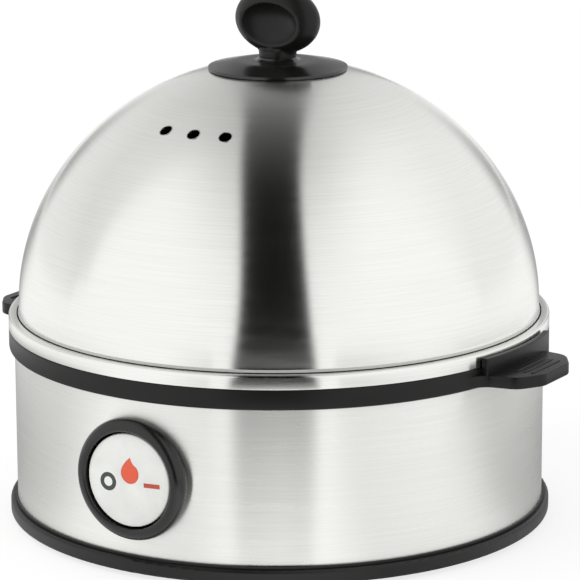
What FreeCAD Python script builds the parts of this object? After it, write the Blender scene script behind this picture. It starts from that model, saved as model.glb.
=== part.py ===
import FreeCAD, Part
import math
import os

import Sketcher

Vector = FreeCAD.Vector
Rotation = FreeCAD.Rotation
Placement = FreeCAD.Placement

# Driving dimensions, in millimetres and degrees. Z is up, from the table that the feet stand on.
# The control faces -Y and the two carrying handles point along X.
SIZES = {
    # fits and common thicknesses
    "slip_fit": 0.1,
    "running_fit": 0.05,
    "air_gap": 0.4,
    "cut_overrun": 1.0,
    "sheet_thickness": 0.6,
    # bottom shell with the black foot ring
    "foot_drop": 1.5,
    "foot_overhang": 2.4,
    "foot_ring_height": 5.8,
    "foot_ring_width": 4.0,
    "foot_lip_overhang": 0.7,
    "foot_lip_height": 1.0,
    "foot_edge_round": 0.9,
    "floor_recess": 1.5,
    "floor_thickness": 2.2,
    "spigot_wall": 2.0,
    "spigot_height": 4.7,
    "sleeve_seat_depth": 1.5,
    "vent_count": 8,
    "vent_ring_radius": 28.0,
    "vent_length": 14.0,
    "vent_width": 3.0,
    # rubber feet
    "pad_count": 4,
    "pad_radius": 7.0,
    "pad_inset": 12.0,
    "pad_stem_radius": 2.5,
    "pad_barb_radius": 3.1,
    "pad_barb_height": 2.0,
    # brushed steel sleeve
    "sleeve_radius": 89.6,
    "sleeve_height": 52.2,
    "rear_panel_half_angle": 17.0,
    "rear_panel_gap_angle": 0.15,
    # upper collar and the screws that pull the shells together
    "collar_skirt_depth": 6.5,
    "collar_wall": 2.5,
    "collar_ledge_depth": 2.1,
    "collar_ledge_thickness": 2.0,
    "collar_mouth_gap": 2.0,
    "post_count": 4,
    "post_radius": 4.0,
    "post_inset": 7.5,
    "boss_radius": 5.2,
    "boss_height": 3.0,
    "boss_web": 2.0,
    "screw_radius": 1.5,
    "screw_length": 14.0,
    "screw_head_radius": 2.9,
    "screw_head_height": 1.8,
    # water bowl and its seal
    "bowl_rim_inset": 3.0,
    "bowl_rim_width": 12.0,
    "bowl_taper": 6.0,
    "bowl_depth": 19.5,
    "bowl_corner": 5.0,
    "bowl_lip_round": 1.2,
    "seal_width": 8.0,
    "stud_count": 3,
    "stud_radius": 2.0,
    "stud_inset": 9.5,
    "stud_length": 13.4,
    # heater under the bowl
    "plate_radius": 56.0,
    "plate_thickness": 5.0,
    "element_radius": 3.25,
    "element_inset": 8.0,
    "element_gap_angle": 25.0,
    "element_bend": 8.0,
    "element_tail": 4.0,
    "pin_radius": 1.2,
    "pin_length": 6.0,
    "clamp_border": 4.6,
    "clamp_thickness": 1.0,
    "clamp_notch_inset": 10.0,
    "clamp_notch_width": 52.0,
    "nut_flats": 7.0,
    "nut_height": 3.2,
    # thermostat, thermal fuse and earth tab
    "thermostat_radius": 8.0,
    "thermostat_height": 9.4,
    "thermostat_flange_radius": 10.0,
    "thermostat_flange": 1.0,
    "blade_width": 6.3,
    "blade_thickness": 0.8,
    "blade_length": 7.0,
    "blade_spacing": 10.0,
    "bracket_length": 36.0,
    "bracket_width": 22.0,
    "bracket_foot": 6.0,
    "plate_screw_length": 5.0,
    "fuse_radius": 2.2,
    "fuse_length": 14.0,
    "fuse_gap": 1.0,
    "clip_band": 5.0,
    "clip_tab": 7.0,
    "earth_tab_reach": 3.6,
    "earth_tab_inset": 0.5,
    "earth_tab_drop": 10.0,
    # terminal block, inner leads and cord gland
    "block_width": 30.0,
    "block_depth": 17.0,
    "block_height": 10.5,
    "block_setback": 27.6,
    "pole_spacing": 9.0,
    "pole_height": 5.0,
    "pole_screw_radius": 1.8,
    "pole_screw_length": 5.0,
    "lead_radius": 1.2,
    "lead_spread": 60.0,
    "gland_height": 22.0,
    "gland_bore_radius": 3.6,
    "gland_tube_radius": 6.5,
    "gland_flange_radius": 9.5,
    "gland_stand": 4.4,
    "gland_inner_length": 10.0,
    "gland_round": 1.4,
    "gland_nut_flats": 17.0,
    "gland_nut_height": 4.0,
    # control: bezel, switch, lamp, rocker and its lens
    "control_drop": 0.4,
    "bezel_margin": 5.6,
    "bezel_stand": 4.9,
    "bezel_round": 3.3,
    "bezel_mouth_round": 1.0,
    "bezel_bead_overlap": 1.9,
    "bezel_tube_depth": 9.0,
    "bezel_bead_width": 4.4,
    "bezel_mouth_depth": 2.6,
    "bezel_tube_wall": 1.7,
    "bezel_boss_radius": 2.4,
    "bezel_boss_inset": 2.9,
    "bezel_boss_height": 5.0,
    "rocker_gap": 0.7,
    "rocker_recess": 1.5,
    "rocker_thickness": 2.5,
    "rocker_edge_round": 0.5,
    "rocker_pivot_depth": 3.0,
    "rocker_pin_radius": 1.2,
    "rocker_pin_length": 3.4,
    "rocker_ear_half_width": 3.0,
    "rocker_ear_inset": 4.4,
    "rocker_ear_thickness": 2.6,
    "switch_flange_inset": 0.6,
    "switch_flange": 2.0,
    "switch_head_gap": 1.0,
    "switch_depth": 6.6,
    "switch_ear_thickness": 3.0,
    "switch_ear_half_width": 3.2,
    "switch_screw_radius": 1.0,
    "switch_screw_head_radius": 2.0,
    "switch_screw_head_height": 1.4,
    "switch_screw_length": 6.0,
    "switch_blade_offset": 6.0,
    "lamp_radius": 1.9,
    "lamp_length": 9.0,
    "drop_width": 6.4,
    "drop_height": 8.3,
    "drop_offset": 3.2,
    # egg rack
    "rack_overhang": 1.9,
    "rack_height": 6.3,
    "rack_wall": 3.5,
    "rack_edge_round": 0.7,
    "rack_flange_width": 10.0,
    "rack_flange_thickness": 2.0,
    "rack_guide_height": 2.2,
    "rack_guide_gap": 0.6,
    "handle_length": 15.3,
    "handle_root_half_width": 19.5,
    "handle_corner_setback": 5.4,
    "handle_corner_half_width": 17.4,
    "handle_corner_round": 6.5,
    "handle_thickness": 4.0,
    "handle_ridge_count": 3,
    "handle_ridge_inset": 10.2,
    "handle_ridge_pitch": 2.7,
    "handle_ridge_width": 1.2,
    "handle_ridge_height": 0.6,
    "handle_ridge_half_length": 10.0,
    "stop_gap": 0.4,
    "stop_thickness": 2.2,
    "stop_height": 3.2,
    "stop_half_angle": 13.5,
    "tray_gap": 1.5,
    "tray_thickness": 0.8,
    "egg_hole_radius": 17.0,
    "egg_margin": 17.5,
    "egg_ring_count": 6,
    "egg_collar_height": 1.4,
    "steam_slot_radius": 3.0,
    "steam_slot_inset": 14.5,
    "tray_screw_count": 3,
    "tray_screw_inset": 4.5,
    "tray_screw_radius": 1.2,
    "tray_screw_head_radius": 2.4,
    "tray_screw_head_height": 1.2,
    # lid
    "skirt_height": 3.6,
    "skirt_round": 1.3,
    "crease_inset": 3.3,
    "crease_rise": 0.8,
    "dome_inset": 3.93,
    "dome_height": 82.37,
    "dome_base_rise": 6.9,
    "flare_rise": 1.0,
    "steam_hole_radius": 2.25,
    "steam_hole_ring_radius": 52.6,
    "steam_hole_step_angle": 12.45,
    "steam_hole_count": 3,
    "knob_hole_radius": 2.4,
    "disc_radius": 23.4,
    "disc_edge": 1.0,
    "disc_neck_rise": 1.15,
    "disc_bore_radius": 4.0,
    "neck_radius": 6.3,
    "neck_height": 2.7,
    "neck_blend": 4.5,
    "grip_half_width": 15.9,
    "grip_half_thickness": 8.0,
    "grip_half_height": 11.5,
    "grip_lift": 9.9,
    "dimple_half_width": 14.0,
    "dimple_half_height": 9.0,
    "dimple_depth": 7.5,
    "dimple_offset": 9.5,
    "dimple_drop": 1.2,
    "knob_screw_radius": 2.0,
    "knob_screw_length": 12.0,
    "knob_screw_head_radius": 4.0,
    "knob_screw_head_height": 2.4,
    "washer_radius": 7.0,
    "washer_thickness": 1.0,
}


class Size:
    """A size kept as an expression on the sheet, together with its value."""

    def __init__(self, text, value):
        self.text = text
        self.value = value

    def __add__(self, other):
        return Size(f"({self.text} + {text_of(other)})", self.value + value_of(other))

    def __radd__(self, other):
        return Size(f"({text_of(other)} + {self.text})", value_of(other) + self.value)

    def __sub__(self, other):
        return Size(f"({self.text} - {text_of(other)})", self.value - value_of(other))

    def __rsub__(self, other):
        return Size(f"({text_of(other)} - {self.text})", value_of(other) - self.value)

    def __mul__(self, other):
        return Size(f"({self.text} * {text_of(other)})", self.value * value_of(other))

    __rmul__ = __mul__

    def __truediv__(self, other):
        return Size(f"({self.text} / {text_of(other)})", self.value / value_of(other))

    def __neg__(self):
        return Size(f"(0 - {self.text})", -self.value)

    def __float__(self):
        return float(self.value)


def text_of(item):
    """The expression of a size, or a plain number as text."""
    return item.text if isinstance(item, Size) else repr(item)


def value_of(item):
    """The value of a size, or the plain number itself."""
    return item.value if isinstance(item, Size) else item


def root(item):
    """The square root of a size."""
    return Size(f"sqrt({item.text})", math.sqrt(item.value))


def cosine(angle):
    """The cosine of an angle in degrees."""
    return Size(f"cos({text_of(angle)})", math.cos(math.radians(value_of(angle))))


def sine(angle):
    """The sine of an angle in degrees."""
    return Size(f"sin({text_of(angle)})", math.sin(math.radians(value_of(angle))))


class Sheet:
    """The spreadsheet of driving dimensions, read as attributes."""

    def __init__(self, document):
        self.cells = document.addObject("Spreadsheet::Sheet", "size")
        self.cells.Label = "driving_dimensions"
        for row, (name, value) in enumerate(SIZES.items(), start=1):
            self.cells.set(f"A{row}", name)
            self.cells.set(f"B{row}", str(value))
            self.cells.setAlias(f"B{row}", name)
        document.recompute()

    def __getattr__(self, name):
        return Size(f"size.{name}", float(getattr(self.__dict__["cells"], name)))


doc = FreeCAD.newDocument("egg_cooker")
s = Sheet(doc)
HALF_TURN = 180
QUARTER_TURN = 90
FULL_TURN = 360

# Heights that several pieces share, worked out from the sheet.
ring_top = s.foot_drop + s.foot_ring_height
deck = ring_top + s.sleeve_height
floor_under = s.foot_drop + s.floor_recess
floor_top = floor_under + s.floor_thickness
boss_top = floor_top + s.boss_height
collar_ledge = deck - s.collar_ledge_depth
bowl_floor = deck - s.bowl_depth
bowl_under = bowl_floor - s.sheet_thickness
plate_under = bowl_under - s.plate_thickness
clamp_top = plate_under - s.element_radius
clamp_under = clamp_top - s.clamp_thickness
rack_top = deck + s.rack_height
tray_under = deck + s.rack_flange_thickness
dome_base = rack_top + s.dome_base_rise
neck_base = dome_base + s.dome_height + s.disc_neck_rise
grip_centre = neck_base + s.neck_height + s.grip_lift

# Radii and reaches of the base, from the sleeve inwards.
foot_radius = s.sleeve_radius + s.foot_overhang
foot_lip_radius = s.sleeve_radius + s.foot_lip_overhang
sleeve_inner = s.sleeve_radius - s.sheet_thickness
pad_ring_radius = sleeve_inner - s.pad_inset
post_ring_radius = sleeve_inner - s.post_inset
bowl_rim_radius = sleeve_inner - s.bowl_rim_inset
bowl_mouth_radius = bowl_rim_radius - s.bowl_rim_width
bowl_floor_radius = bowl_mouth_radius - s.bowl_taper
collar_mouth_radius = bowl_mouth_radius + s.collar_mouth_gap
element_ring_radius = s.plate_radius - s.element_inset
stud_ring_radius = element_ring_radius - s.stud_inset
clamp_inner_radius = stud_ring_radius - s.clamp_border
clamp_outer_radius = element_ring_radius + s.clamp_border
clamp_notch_start = element_ring_radius - s.clamp_notch_inset
clip_radius = s.fuse_radius + s.slip_fit + s.blade_thickness
fuse_offset = s.bracket_width / 2 + s.fuse_gap + clip_radius
earth_tab_start = clamp_inner_radius + s.earth_tab_inset
block_offset = s.sleeve_radius - s.block_setback

# The control fills the sleeve's height but for a margin above and below it.
control_height = (ring_top + deck) / 2 - s.control_drop
bezel_radius = s.sleeve_height / 2 - s.bezel_margin
bezel_tube_radius = bezel_radius - s.bezel_bead_overlap
bezel_mouth_radius = bezel_radius - s.bezel_bead_width
bezel_tube_bore = bezel_tube_radius - s.bezel_tube_wall
bezel_boss_offset = bezel_tube_bore - s.bezel_boss_inset
rocker_radius = bezel_mouth_radius - s.rocker_gap
rocker_ear_outer = rocker_radius - s.rocker_ear_inset
rocker_ear_inner = rocker_ear_outer - s.rocker_ear_thickness
switch_flange_radius = bezel_tube_radius - s.switch_flange_inset
switch_width = (bezel_boss_offset - s.switch_screw_head_radius - s.switch_head_gap) * 2

# Radii and reaches of the egg rack and the lid, which stand on the sleeve.
rack_radius = s.sleeve_radius + s.rack_overhang
rack_inner = rack_radius - s.rack_wall
rack_flange_radius = rack_inner - s.rack_flange_width
guide_radius = rack_radius - s.sheet_thickness - s.rack_guide_gap
handle_reach = rack_radius + s.handle_length
handle_corner_reach = handle_reach - s.handle_corner_setback
handle_ridge_start = handle_reach - s.handle_ridge_inset
tray_radius = rack_inner - s.tray_gap
egg_ring_radius = tray_radius - s.egg_hole_radius - s.egg_margin
tray_screw_ring_radius = tray_radius - s.tray_screw_inset
crease_radius = rack_radius - s.crease_inset
dome_radius = rack_radius - s.dome_inset
dome_inner_radius = dome_radius - s.sheet_thickness
dome_inner_height = s.dome_height - s.sheet_thickness
parts = []


def keep(piece, label):
    """Name a finished sub-part and put it on the list of what is written."""
    piece.Label = label
    parts.append(piece)
    return piece


def new_body(label):
    """Start a body that becomes the sub-part of that name."""
    return keep(doc.addObject("PartDesign::Body", label), label)


def origin_part(body, role):
    """A plane or an axis of the body's own origin."""
    return next(item for item in body.Origin.OriginFeatures if item.Role == role)


def new_sketch(body, name, role, lift=None):
    """Attach a sketch to one of the body's origin planes, lifted along the plane's normal."""
    sketch = body.newObject("Sketcher::SketchObject", name)
    sketch.AttachmentSupport = [(origin_part(body, role), "")]
    sketch.MapMode = "FlatFace"
    if lift is not None:
        sketch.setExpression("AttachmentOffset.Base.z", lift.text)
    return sketch


def pin_point(sketch, geometry, position, x, y):
    """Hold a sketch point at a place worked out from the sheet."""
    for kind, item, axis in (("DistanceX", x, -2), ("DistanceY", y, -1)):
        if isinstance(item, Size):
            rule = Sketcher.Constraint(kind, -1, 1, geometry, position, item.value)
            index = sketch.addConstraint(rule)
            sketch.setExpression(f"Constraints[{index}]", item.text)
        else:
            sketch.addConstraint(Sketcher.Constraint("PointOnObject", geometry, position, axis))


def rounding(before, corner, after, radius):
    """The two tangent points, the centre and the sense of a rounded corner."""
    to_before = (before - corner).normalize()
    to_after = (after - corner).normalize()
    half = to_before.getAngle(to_after) / 2
    reach = radius / math.tan(half)
    start = corner + to_before * reach
    end = corner + to_after * reach
    centre = corner + (to_before + to_after).normalize() * (radius / math.sin(half))
    left = (corner - before).cross(after - corner).z > 0
    return start, end, centre, left


def outline(body, name, role, corners, lift=None):
    """A closed outline of straight runs; a corner with a third value is rounded to that radius."""
    sketch = new_sketch(body, name, role, lift)
    spots = [Vector(value_of(item[0]), value_of(item[1]), 0) for item in corners]
    count = len(corners)
    ends = []
    for index, item in enumerate(corners):
        if len(item) == 3:
            before = spots[index - 1]
            after = spots[(index + 1) % count]
            ends.append(rounding(before, spots[index], after, value_of(item[2])))
        else:
            ends.append((spots[index], spots[index], None, True))
    runs = []
    for index in range(count):
        following = (index + 1) % count
        runs.append(sketch.addGeometry(Part.LineSegment(ends[index][1], ends[following][0])))
    for index, item in enumerate(corners):
        arriving = runs[index - 1]
        leaving = runs[index]
        if len(item) == 2:
            sketch.addConstraint(Sketcher.Constraint("Coincident", arriving, 2, leaving, 1))
            pin_point(sketch, leaving, 1, item[0], item[1])
            continue
        start, end, centre, left = ends[index]
        first, last = (start, end) if left else (end, start)
        low = math.atan2(first.y - centre.y, first.x - centre.x)
        high = math.atan2(last.y - centre.y, last.x - centre.x)
        circle = Part.Circle(centre, Vector(0, 0, 1), value_of(item[2]))
        arc = sketch.addGeometry(Part.ArcOfCircle(circle, low, high))
        corner = sketch.addGeometry(Part.Point(spots[index]), True)
        pin_point(sketch, corner, 1, item[0], item[1])
        sketch.addConstraint(Sketcher.Constraint("PointOnObject", corner, 1, arriving))
        sketch.addConstraint(Sketcher.Constraint("PointOnObject", corner, 1, leaving))
        enter, depart = (1, 2) if left else (2, 1)
        sketch.addConstraint(Sketcher.Constraint("Tangent", arriving, 2, arc, enter))
        sketch.addConstraint(Sketcher.Constraint("Tangent", leaving, 1, arc, depart))
        radius = sketch.addConstraint(Sketcher.Constraint("Radius", arc, value_of(item[2])))
        sketch.setExpression(f"Constraints[{radius}]", item[2].text)
    return sketch


def rings(body, name, role, circles, lift=None):
    """A sketch of full circles, each given as its centre's x and y and its radius."""
    sketch = new_sketch(body, name, role, lift)
    for x, y, radius in circles:
        spot = Vector(value_of(x), value_of(y), 0)
        circle = sketch.addGeometry(Part.Circle(spot, Vector(0, 0, 1), radius.value))
        pin_point(sketch, circle, 3, x, y)
        index = sketch.addConstraint(Sketcher.Constraint("Radius", circle, radius.value))
        sketch.setExpression(f"Constraints[{index}]", radius.text)
    return sketch


def block_outline(body, name, role, left, right, low, high, lift=None):
    """A rectangle between two places on each axis."""
    corners = [(left, low), (right, low), (right, high), (left, high)]
    return outline(body, name, role, corners, lift)


def sector(body, name, inner, outer, middle, half, lift):
    """A sketched piece of a ring, half an angle to each side of the X axis (0) or Y axis (90)."""
    sketch = new_sketch(body, name, "XY_Plane", lift)
    low = middle - half
    high = middle + half
    bounds = (math.radians(low.value), math.radians(high.value))
    origin = Vector(0, 0, 0)
    upright = Vector(0, 0, 1)
    arcs = [sketch.addGeometry(Part.ArcOfCircle(Part.Circle(origin, upright, radius.value),
                                                *bounds))
            for radius in (inner, outer)]
    for end, angle in ((1, low), (2, high)):
        near = (inner * cosine(angle), inner * sine(angle))
        far = (outer * cosine(angle), outer * sine(angle))
        spots = [Vector(x.value, y.value, 0) for x, y in (near, far)]
        side = sketch.addGeometry(Part.LineSegment(*spots))
        pin_point(sketch, side, 1, *near)
        pin_point(sketch, side, 2, *far)
        for position, arc in enumerate(arcs, start=1):
            rule = Sketcher.Constraint("Coincident", side, position, arc, end)
            sketch.addConstraint(rule)
    cross_axis = -1 if middle else -2
    for arc in arcs:
        sketch.addConstraint(Sketcher.Constraint("PointOnObject", arc, 3, cross_axis))
    return sketch


def turn(body, name, sketch, kind="Revolution"):
    """Turn an outline about the sketch's upright axis, to add it or, as a Groove, to cut it."""
    feature = body.newObject(f"PartDesign::{kind}", name)
    feature.Profile = sketch
    feature.ReferenceAxis = (sketch, ["V_Axis"])
    feature.Angle = FULL_TURN
    return feature


def raise_from(body, name, sketch, length, kind="Pad", backwards=False):
    """Add an outline's prism with a Pad, or cut it with a Pocket."""
    feature = body.newObject(f"PartDesign::{kind}", name)
    feature.Profile = sketch
    feature.setExpression("Length", length.text)
    feature.Reversed = backwards
    return feature


def around(body, name, features, count):
    """Repeat features evenly round the upright axis."""
    pattern = body.newObject("PartDesign::PolarPattern", name)
    pattern.Originals = features
    pattern.Axis = (origin_part(body, "Z_Axis"), [""])
    pattern.Angle = FULL_TURN
    pattern.setExpression("Occurrences", text_of(count))
    body.Tip = pattern
    return pattern


def place(piece, x=0, y=0, z=0, axis=Vector(0, 0, 1), angle=0):
    """Set where a piece stands, with each offset tied to the sheet."""
    base = Vector(value_of(x), value_of(y), value_of(z))
    piece.Placement = Placement(base, Rotation(axis, value_of(angle)))
    for letter, item in (("x", x), ("y", y), ("z", z)):
        if isinstance(item, Size):
            piece.setExpression(f"Placement.Base.{letter}", item.text)
    return piece


def primitive(kind, name, sizes):
    """A Part primitive whose sizes follow the sheet."""
    piece = doc.addObject(f"Part::{kind}", name)
    for key, item in sizes.items():
        if isinstance(item, Size):
            piece.setExpression(key, item.text)
        else:
            setattr(piece, key, item)
    return piece


def rod(name, radius, length, **where):
    """A cylinder, placed."""
    return place(primitive("Cylinder", name, {"Radius": radius, "Height": length}), **where)


def brick(name, width, depth, height, x=0, y=0, z=0):
    """A box centred on x and y, standing on z."""
    piece = primitive("Box", name, {"Length": width, "Width": depth, "Height": height})
    return place(piece, x=x - width / 2, y=y - depth / 2, z=z)


def joined(name, pieces):
    """One solid of several."""
    piece = doc.addObject("Part::MultiFuse", name)
    piece.Shapes = pieces
    piece.Refine = True
    return piece


def cut_from(name, base, tool):
    """One piece with another cut away."""
    piece = doc.addObject("Part::Cut", name)
    piece.Base = base
    piece.Tool = tool
    piece.Refine = True
    return piece


def facing_front(body, depth=0):
    """Stand a piece that was drawn with +Z outwards on the control's axis, facing -Y."""
    return place(body, y=depth - s.sleeve_radius, z=control_height, axis=Vector(1, 0, 0),
                 angle=QUARTER_TURN)


def facing_back(body):
    """Stand a piece that was drawn with +Z outwards on the gland's axis, facing +Y."""
    return place(body, y=s.sleeve_radius, z=s.gland_height, axis=Vector(-1, 0, 0),
                 angle=QUARTER_TURN)


SLOT_LENGTH_SHARE = 1.3
SLOT_WIDTH_SHARE = 1 / 3


def fastener(label, radius, length, head_radius, head_height, spots, seat, upwards=True):
    """A group of like screws: heads against a seat, shanks pointing up or down from it."""
    sense = 1 if upwards else -1
    pieces = []
    for index, (x, y) in enumerate(spots):
        head_foot = seat - head_height if upwards else seat
        shank_foot = seat if upwards else seat - length
        head = rod(f"{label}_head_{index}", head_radius, head_height, x=x, y=y, z=head_foot)
        shank = rod(f"{label}_shank_{index}", radius, length, x=x, y=y, z=shank_foot)
        width = head_height * SLOT_WIDTH_SHARE
        foot = head_foot if upwards else seat + head_height - width
        slot = brick(f"{label}_slot_{index}", head_radius * SLOT_LENGTH_SHARE, width, width,
                     x=x, y=y, z=foot)
        whole = joined(f"{label}_whole_{index}", [head, shank])
        pieces.append(cut_from(f"{label}_{index}", whole, slot))
    if len(pieces) == 1:
        return keep(pieces[0], label)
    group = doc.addObject("Part::Compound", label)
    group.Links = pieces
    return keep(group, label)


def ring_spots(radius, count, first):
    """Places evenly round the upright axis, from a first angle in degrees."""
    number = int(value_of(count))
    angles = [first + FULL_TURN * index / number for index in range(number)]
    return [(radius * cosine(angle), radius * sine(angle)) for angle in angles]


POST_START = 45
STUD_START = 30
TRAY_SCREW_START = 90


def make_bottom_shell():
    """Black moulded bottom with the foot ring, the screw bosses and the vents."""
    body = new_body("bottom_shell")
    ring_inner = foot_radius - s.foot_ring_width
    seat = ring_top - s.sleeve_seat_depth
    spigot = sleeve_inner - s.slip_fit
    lip_inner = s.sleeve_radius + s.slip_fit
    edge = s.foot_edge_round
    profile = outline(body, "shell_profile", "XZ_Plane", [
        (0, floor_under),
        (ring_inner, floor_under),
        (ring_inner, s.foot_drop, edge / 2),
        (foot_radius, s.foot_drop, edge),
        (foot_radius, ring_top - s.foot_lip_height, edge),
        (foot_lip_radius, ring_top - s.foot_lip_height),
        (foot_lip_radius, ring_top),
        (lip_inner, ring_top),
        (lip_inner, seat),
        (spigot, seat),
        (spigot, ring_top + s.spigot_height),
        (spigot - s.spigot_wall, ring_top + s.spigot_height),
        (spigot - s.spigot_wall, floor_top),
        (0, floor_top),
    ])
    turn(body, "shell", profile)
    x, y = ring_spots(post_ring_radius, s.post_count, POST_START)[0]
    boss = raise_from(body, "boss", rings(body, "boss_ring", "XY_Plane", [(x, y, s.boss_radius)],
                                          floor_top), s.boss_height)
    head = s.screw_head_radius + s.slip_fit * 2
    well = raise_from(body, "well", rings(body, "well_ring", "XY_Plane", [(x, y, head)],
                                          boss_top - s.boss_web), boss_top, "Pocket")
    hole = raise_from(body, "hole", rings(body, "hole_ring", "XY_Plane",
                                          [(x, y, s.screw_radius + s.slip_fit)], boss_top),
                      boss_top, "Pocket")
    around(body, "bosses", [boss, well, hole], s.post_count)
    stem = s.pad_stem_radius + s.slip_fit
    seat_hole = raise_from(body, "pad_hole",
                           rings(body, "pad_ring", "XY_Plane", [(pad_ring_radius, 0, stem)],
                                 floor_top), floor_top, "Pocket")
    around(body, "pad_holes", [seat_hole], s.pad_count)
    left = s.vent_ring_radius
    vent = raise_from(body, "vent", block_outline(body, "vent_outline", "XY_Plane", left,
                                                  left + s.vent_length, -s.vent_width / 2,
                                                  s.vent_width / 2, floor_top),
                      floor_top, "Pocket")
    around(body, "vents", [vent], s.vent_count)


def make_rubber_feet():
    """Four round rubber feet, pushed into the floor by their barbed stems."""
    feet = []
    barb_foot = floor_top
    for index, (x, y) in enumerate(ring_spots(pad_ring_radius, s.pad_count, 0)):
        pad = rod(f"pad_{index}", s.pad_radius, floor_under, x=x, y=y)
        stem = rod(f"stem_{index}", s.pad_stem_radius, s.floor_thickness, x=x, y=y, z=floor_under)
        barb = primitive("Cone", f"barb_{index}", {
            "Radius1": s.pad_barb_radius,
            "Radius2": s.pad_stem_radius / 2,
            "Height": s.pad_barb_height,
        })
        place(barb, x=x, y=y, z=barb_foot)
        feet.append(joined(f"foot_{index}", [pad, stem, barb]))
    group = doc.addObject("Part::Compound", "rubber_feet")
    group.Links = feet
    keep(group, "rubber_feet")


def make_sleeve():
    """Brushed steel wrap of the base with the control's hole, and the sheet that closes its rear."""
    foot = ring_top - s.sleeve_seat_depth
    height = deck - foot
    body = new_body("steel_sleeve")
    profile = block_outline(body, "sleeve_profile", "XZ_Plane", sleeve_inner, s.sleeve_radius,
                            foot, deck)
    turn(body, "sleeve", profile)
    opening = sector(body, "rear_opening", sleeve_inner - s.cut_overrun,
                     s.sleeve_radius + s.cut_overrun, QUARTER_TURN,
                     s.rear_panel_half_angle + s.rear_panel_gap_angle, foot)
    raise_from(body, "rear_cut", opening, height, "Pocket", True)
    front = rings(body, "control_ring", "XZ_Plane",
                  [(0, control_height, bezel_tube_radius + s.slip_fit)], s.sleeve_radius / 2)
    raise_from(body, "control_hole", front, s.sleeve_radius, "Pocket", True)
    panel = new_body("rear_panel")
    sheet = sector(panel, "panel_outline", sleeve_inner, s.sleeve_radius, QUARTER_TURN,
                   s.rear_panel_half_angle, foot)
    raise_from(panel, "panel", sheet, height)
    rear = rings(panel, "gland_ring", "XZ_Plane",
                 [(0, s.gland_height, s.gland_tube_radius + s.slip_fit)], -s.sleeve_radius / 2)
    raise_from(panel, "gland_hole", rear, s.sleeve_radius, "Pocket")


def make_collar():
    """Heat-proof ring inside the sleeve's top that carries the bowl, with four screw posts."""
    body = new_body("upper_collar")
    outer = sleeve_inner - s.slip_fit
    rim = bowl_rim_radius + s.slip_fit * 2
    skirt_foot = deck - s.collar_skirt_depth
    ledge_foot = collar_ledge - s.collar_ledge_thickness
    profile = outline(body, "collar_profile", "XZ_Plane", [
        (collar_mouth_radius, ledge_foot),
        (outer - s.collar_wall, ledge_foot),
        (outer - s.collar_wall, skirt_foot),
        (outer, skirt_foot),
        (outer, deck),
        (rim, deck),
        (rim, collar_ledge),
        (collar_mouth_radius, collar_ledge),
    ])
    turn(body, "collar", profile)
    x, y = ring_spots(post_ring_radius, s.post_count, POST_START)[0]
    ring = rings(body, "post_ring", "XY_Plane", [(x, y, s.post_radius)], boss_top)
    post = raise_from(body, "post", ring, ledge_foot - boss_top)
    pilot_ring = rings(body, "pilot_ring", "XY_Plane", [(x, y, s.screw_radius + s.running_fit)],
                       boss_top)
    pilot = raise_from(body, "pilot", pilot_ring, s.screw_length, "Pocket", True)
    around(body, "posts", [post, pilot], s.post_count)


def make_bowl():
    """Pressed steel water bowl with a flat rim and three studs welded under its floor."""
    body = new_body("heating_bowl")
    wall = s.sheet_thickness
    profile = outline(body, "bowl_profile", "XZ_Plane", [
        (0, bowl_floor),
        (bowl_floor_radius, bowl_floor, s.bowl_corner),
        (bowl_mouth_radius, deck, s.bowl_lip_round + wall),
        (bowl_rim_radius, deck),
        (bowl_rim_radius, deck - wall),
        (bowl_mouth_radius + wall, deck - wall, s.bowl_lip_round),
        (bowl_floor_radius + wall, bowl_under, s.bowl_corner + wall),
        (0, bowl_under),
    ])
    turn(body, "bowl", profile)
    x, y = ring_spots(stud_ring_radius, s.stud_count, STUD_START)[0]
    ring = rings(body, "stud_ring", "XY_Plane", [(x, y, s.stud_radius)], bowl_under)
    stud = raise_from(body, "stud", ring, s.stud_length, "Pad", True)
    around(body, "studs", [stud], s.stud_count)


def make_seal():
    """Flat silicone gasket between the bowl's rim and the collar."""
    body = new_body("bowl_seal")
    outer = bowl_rim_radius - s.slip_fit
    profile = block_outline(body, "seal_profile", "XZ_Plane", outer - s.seal_width, outer,
                            collar_ledge, deck - s.sheet_thickness)
    turn(body, "seal", profile)


def make_heat_plate():
    """Cast aluminium plate against the bowl, grooved for the element."""
    body = new_body("heat_plate")
    profile = block_outline(body, "plate_profile", "XZ_Plane", 0, s.plate_radius, plate_under,
                            bowl_under)
    turn(body, "plate", profile)
    groove = s.element_radius + s.running_fit
    circle = rings(body, "groove_ring", "XZ_Plane", [(element_ring_radius, plate_under, groove)])
    turn(body, "groove", circle, "Groove")
    x, y = ring_spots(stud_ring_radius, s.stud_count, STUD_START)[0]
    ring = rings(body, "stud_hole_ring", "XY_Plane", [(x, y, s.stud_radius + s.slip_fit)],
                 bowl_under)
    hole = raise_from(body, "stud_hole", ring, s.plate_thickness, "Pocket")
    around(body, "stud_holes", [hole], s.stud_count)
    pilot = s.screw_radius + s.running_fit
    spots = [(x, y, pilot) for x, y in plate_screw_spots()]
    tapped = rings(body, "tapped_rings", "XY_Plane", spots, plate_under)
    depth = s.plate_screw_length - s.thermostat_flange - s.clamp_thickness
    raise_from(body, "tapped_holes", tapped, depth, "Pocket", True)


def plate_screw_spots():
    """Where the thermostat bracket and the fuse clip are screwed to the heat plate."""
    reach = (s.bracket_length - s.bracket_foot) / 2
    clip = fuse_offset + clip_radius + s.screw_head_radius + s.slip_fit
    return [(0, reach), (0, -reach), (clip, 0)]


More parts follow.
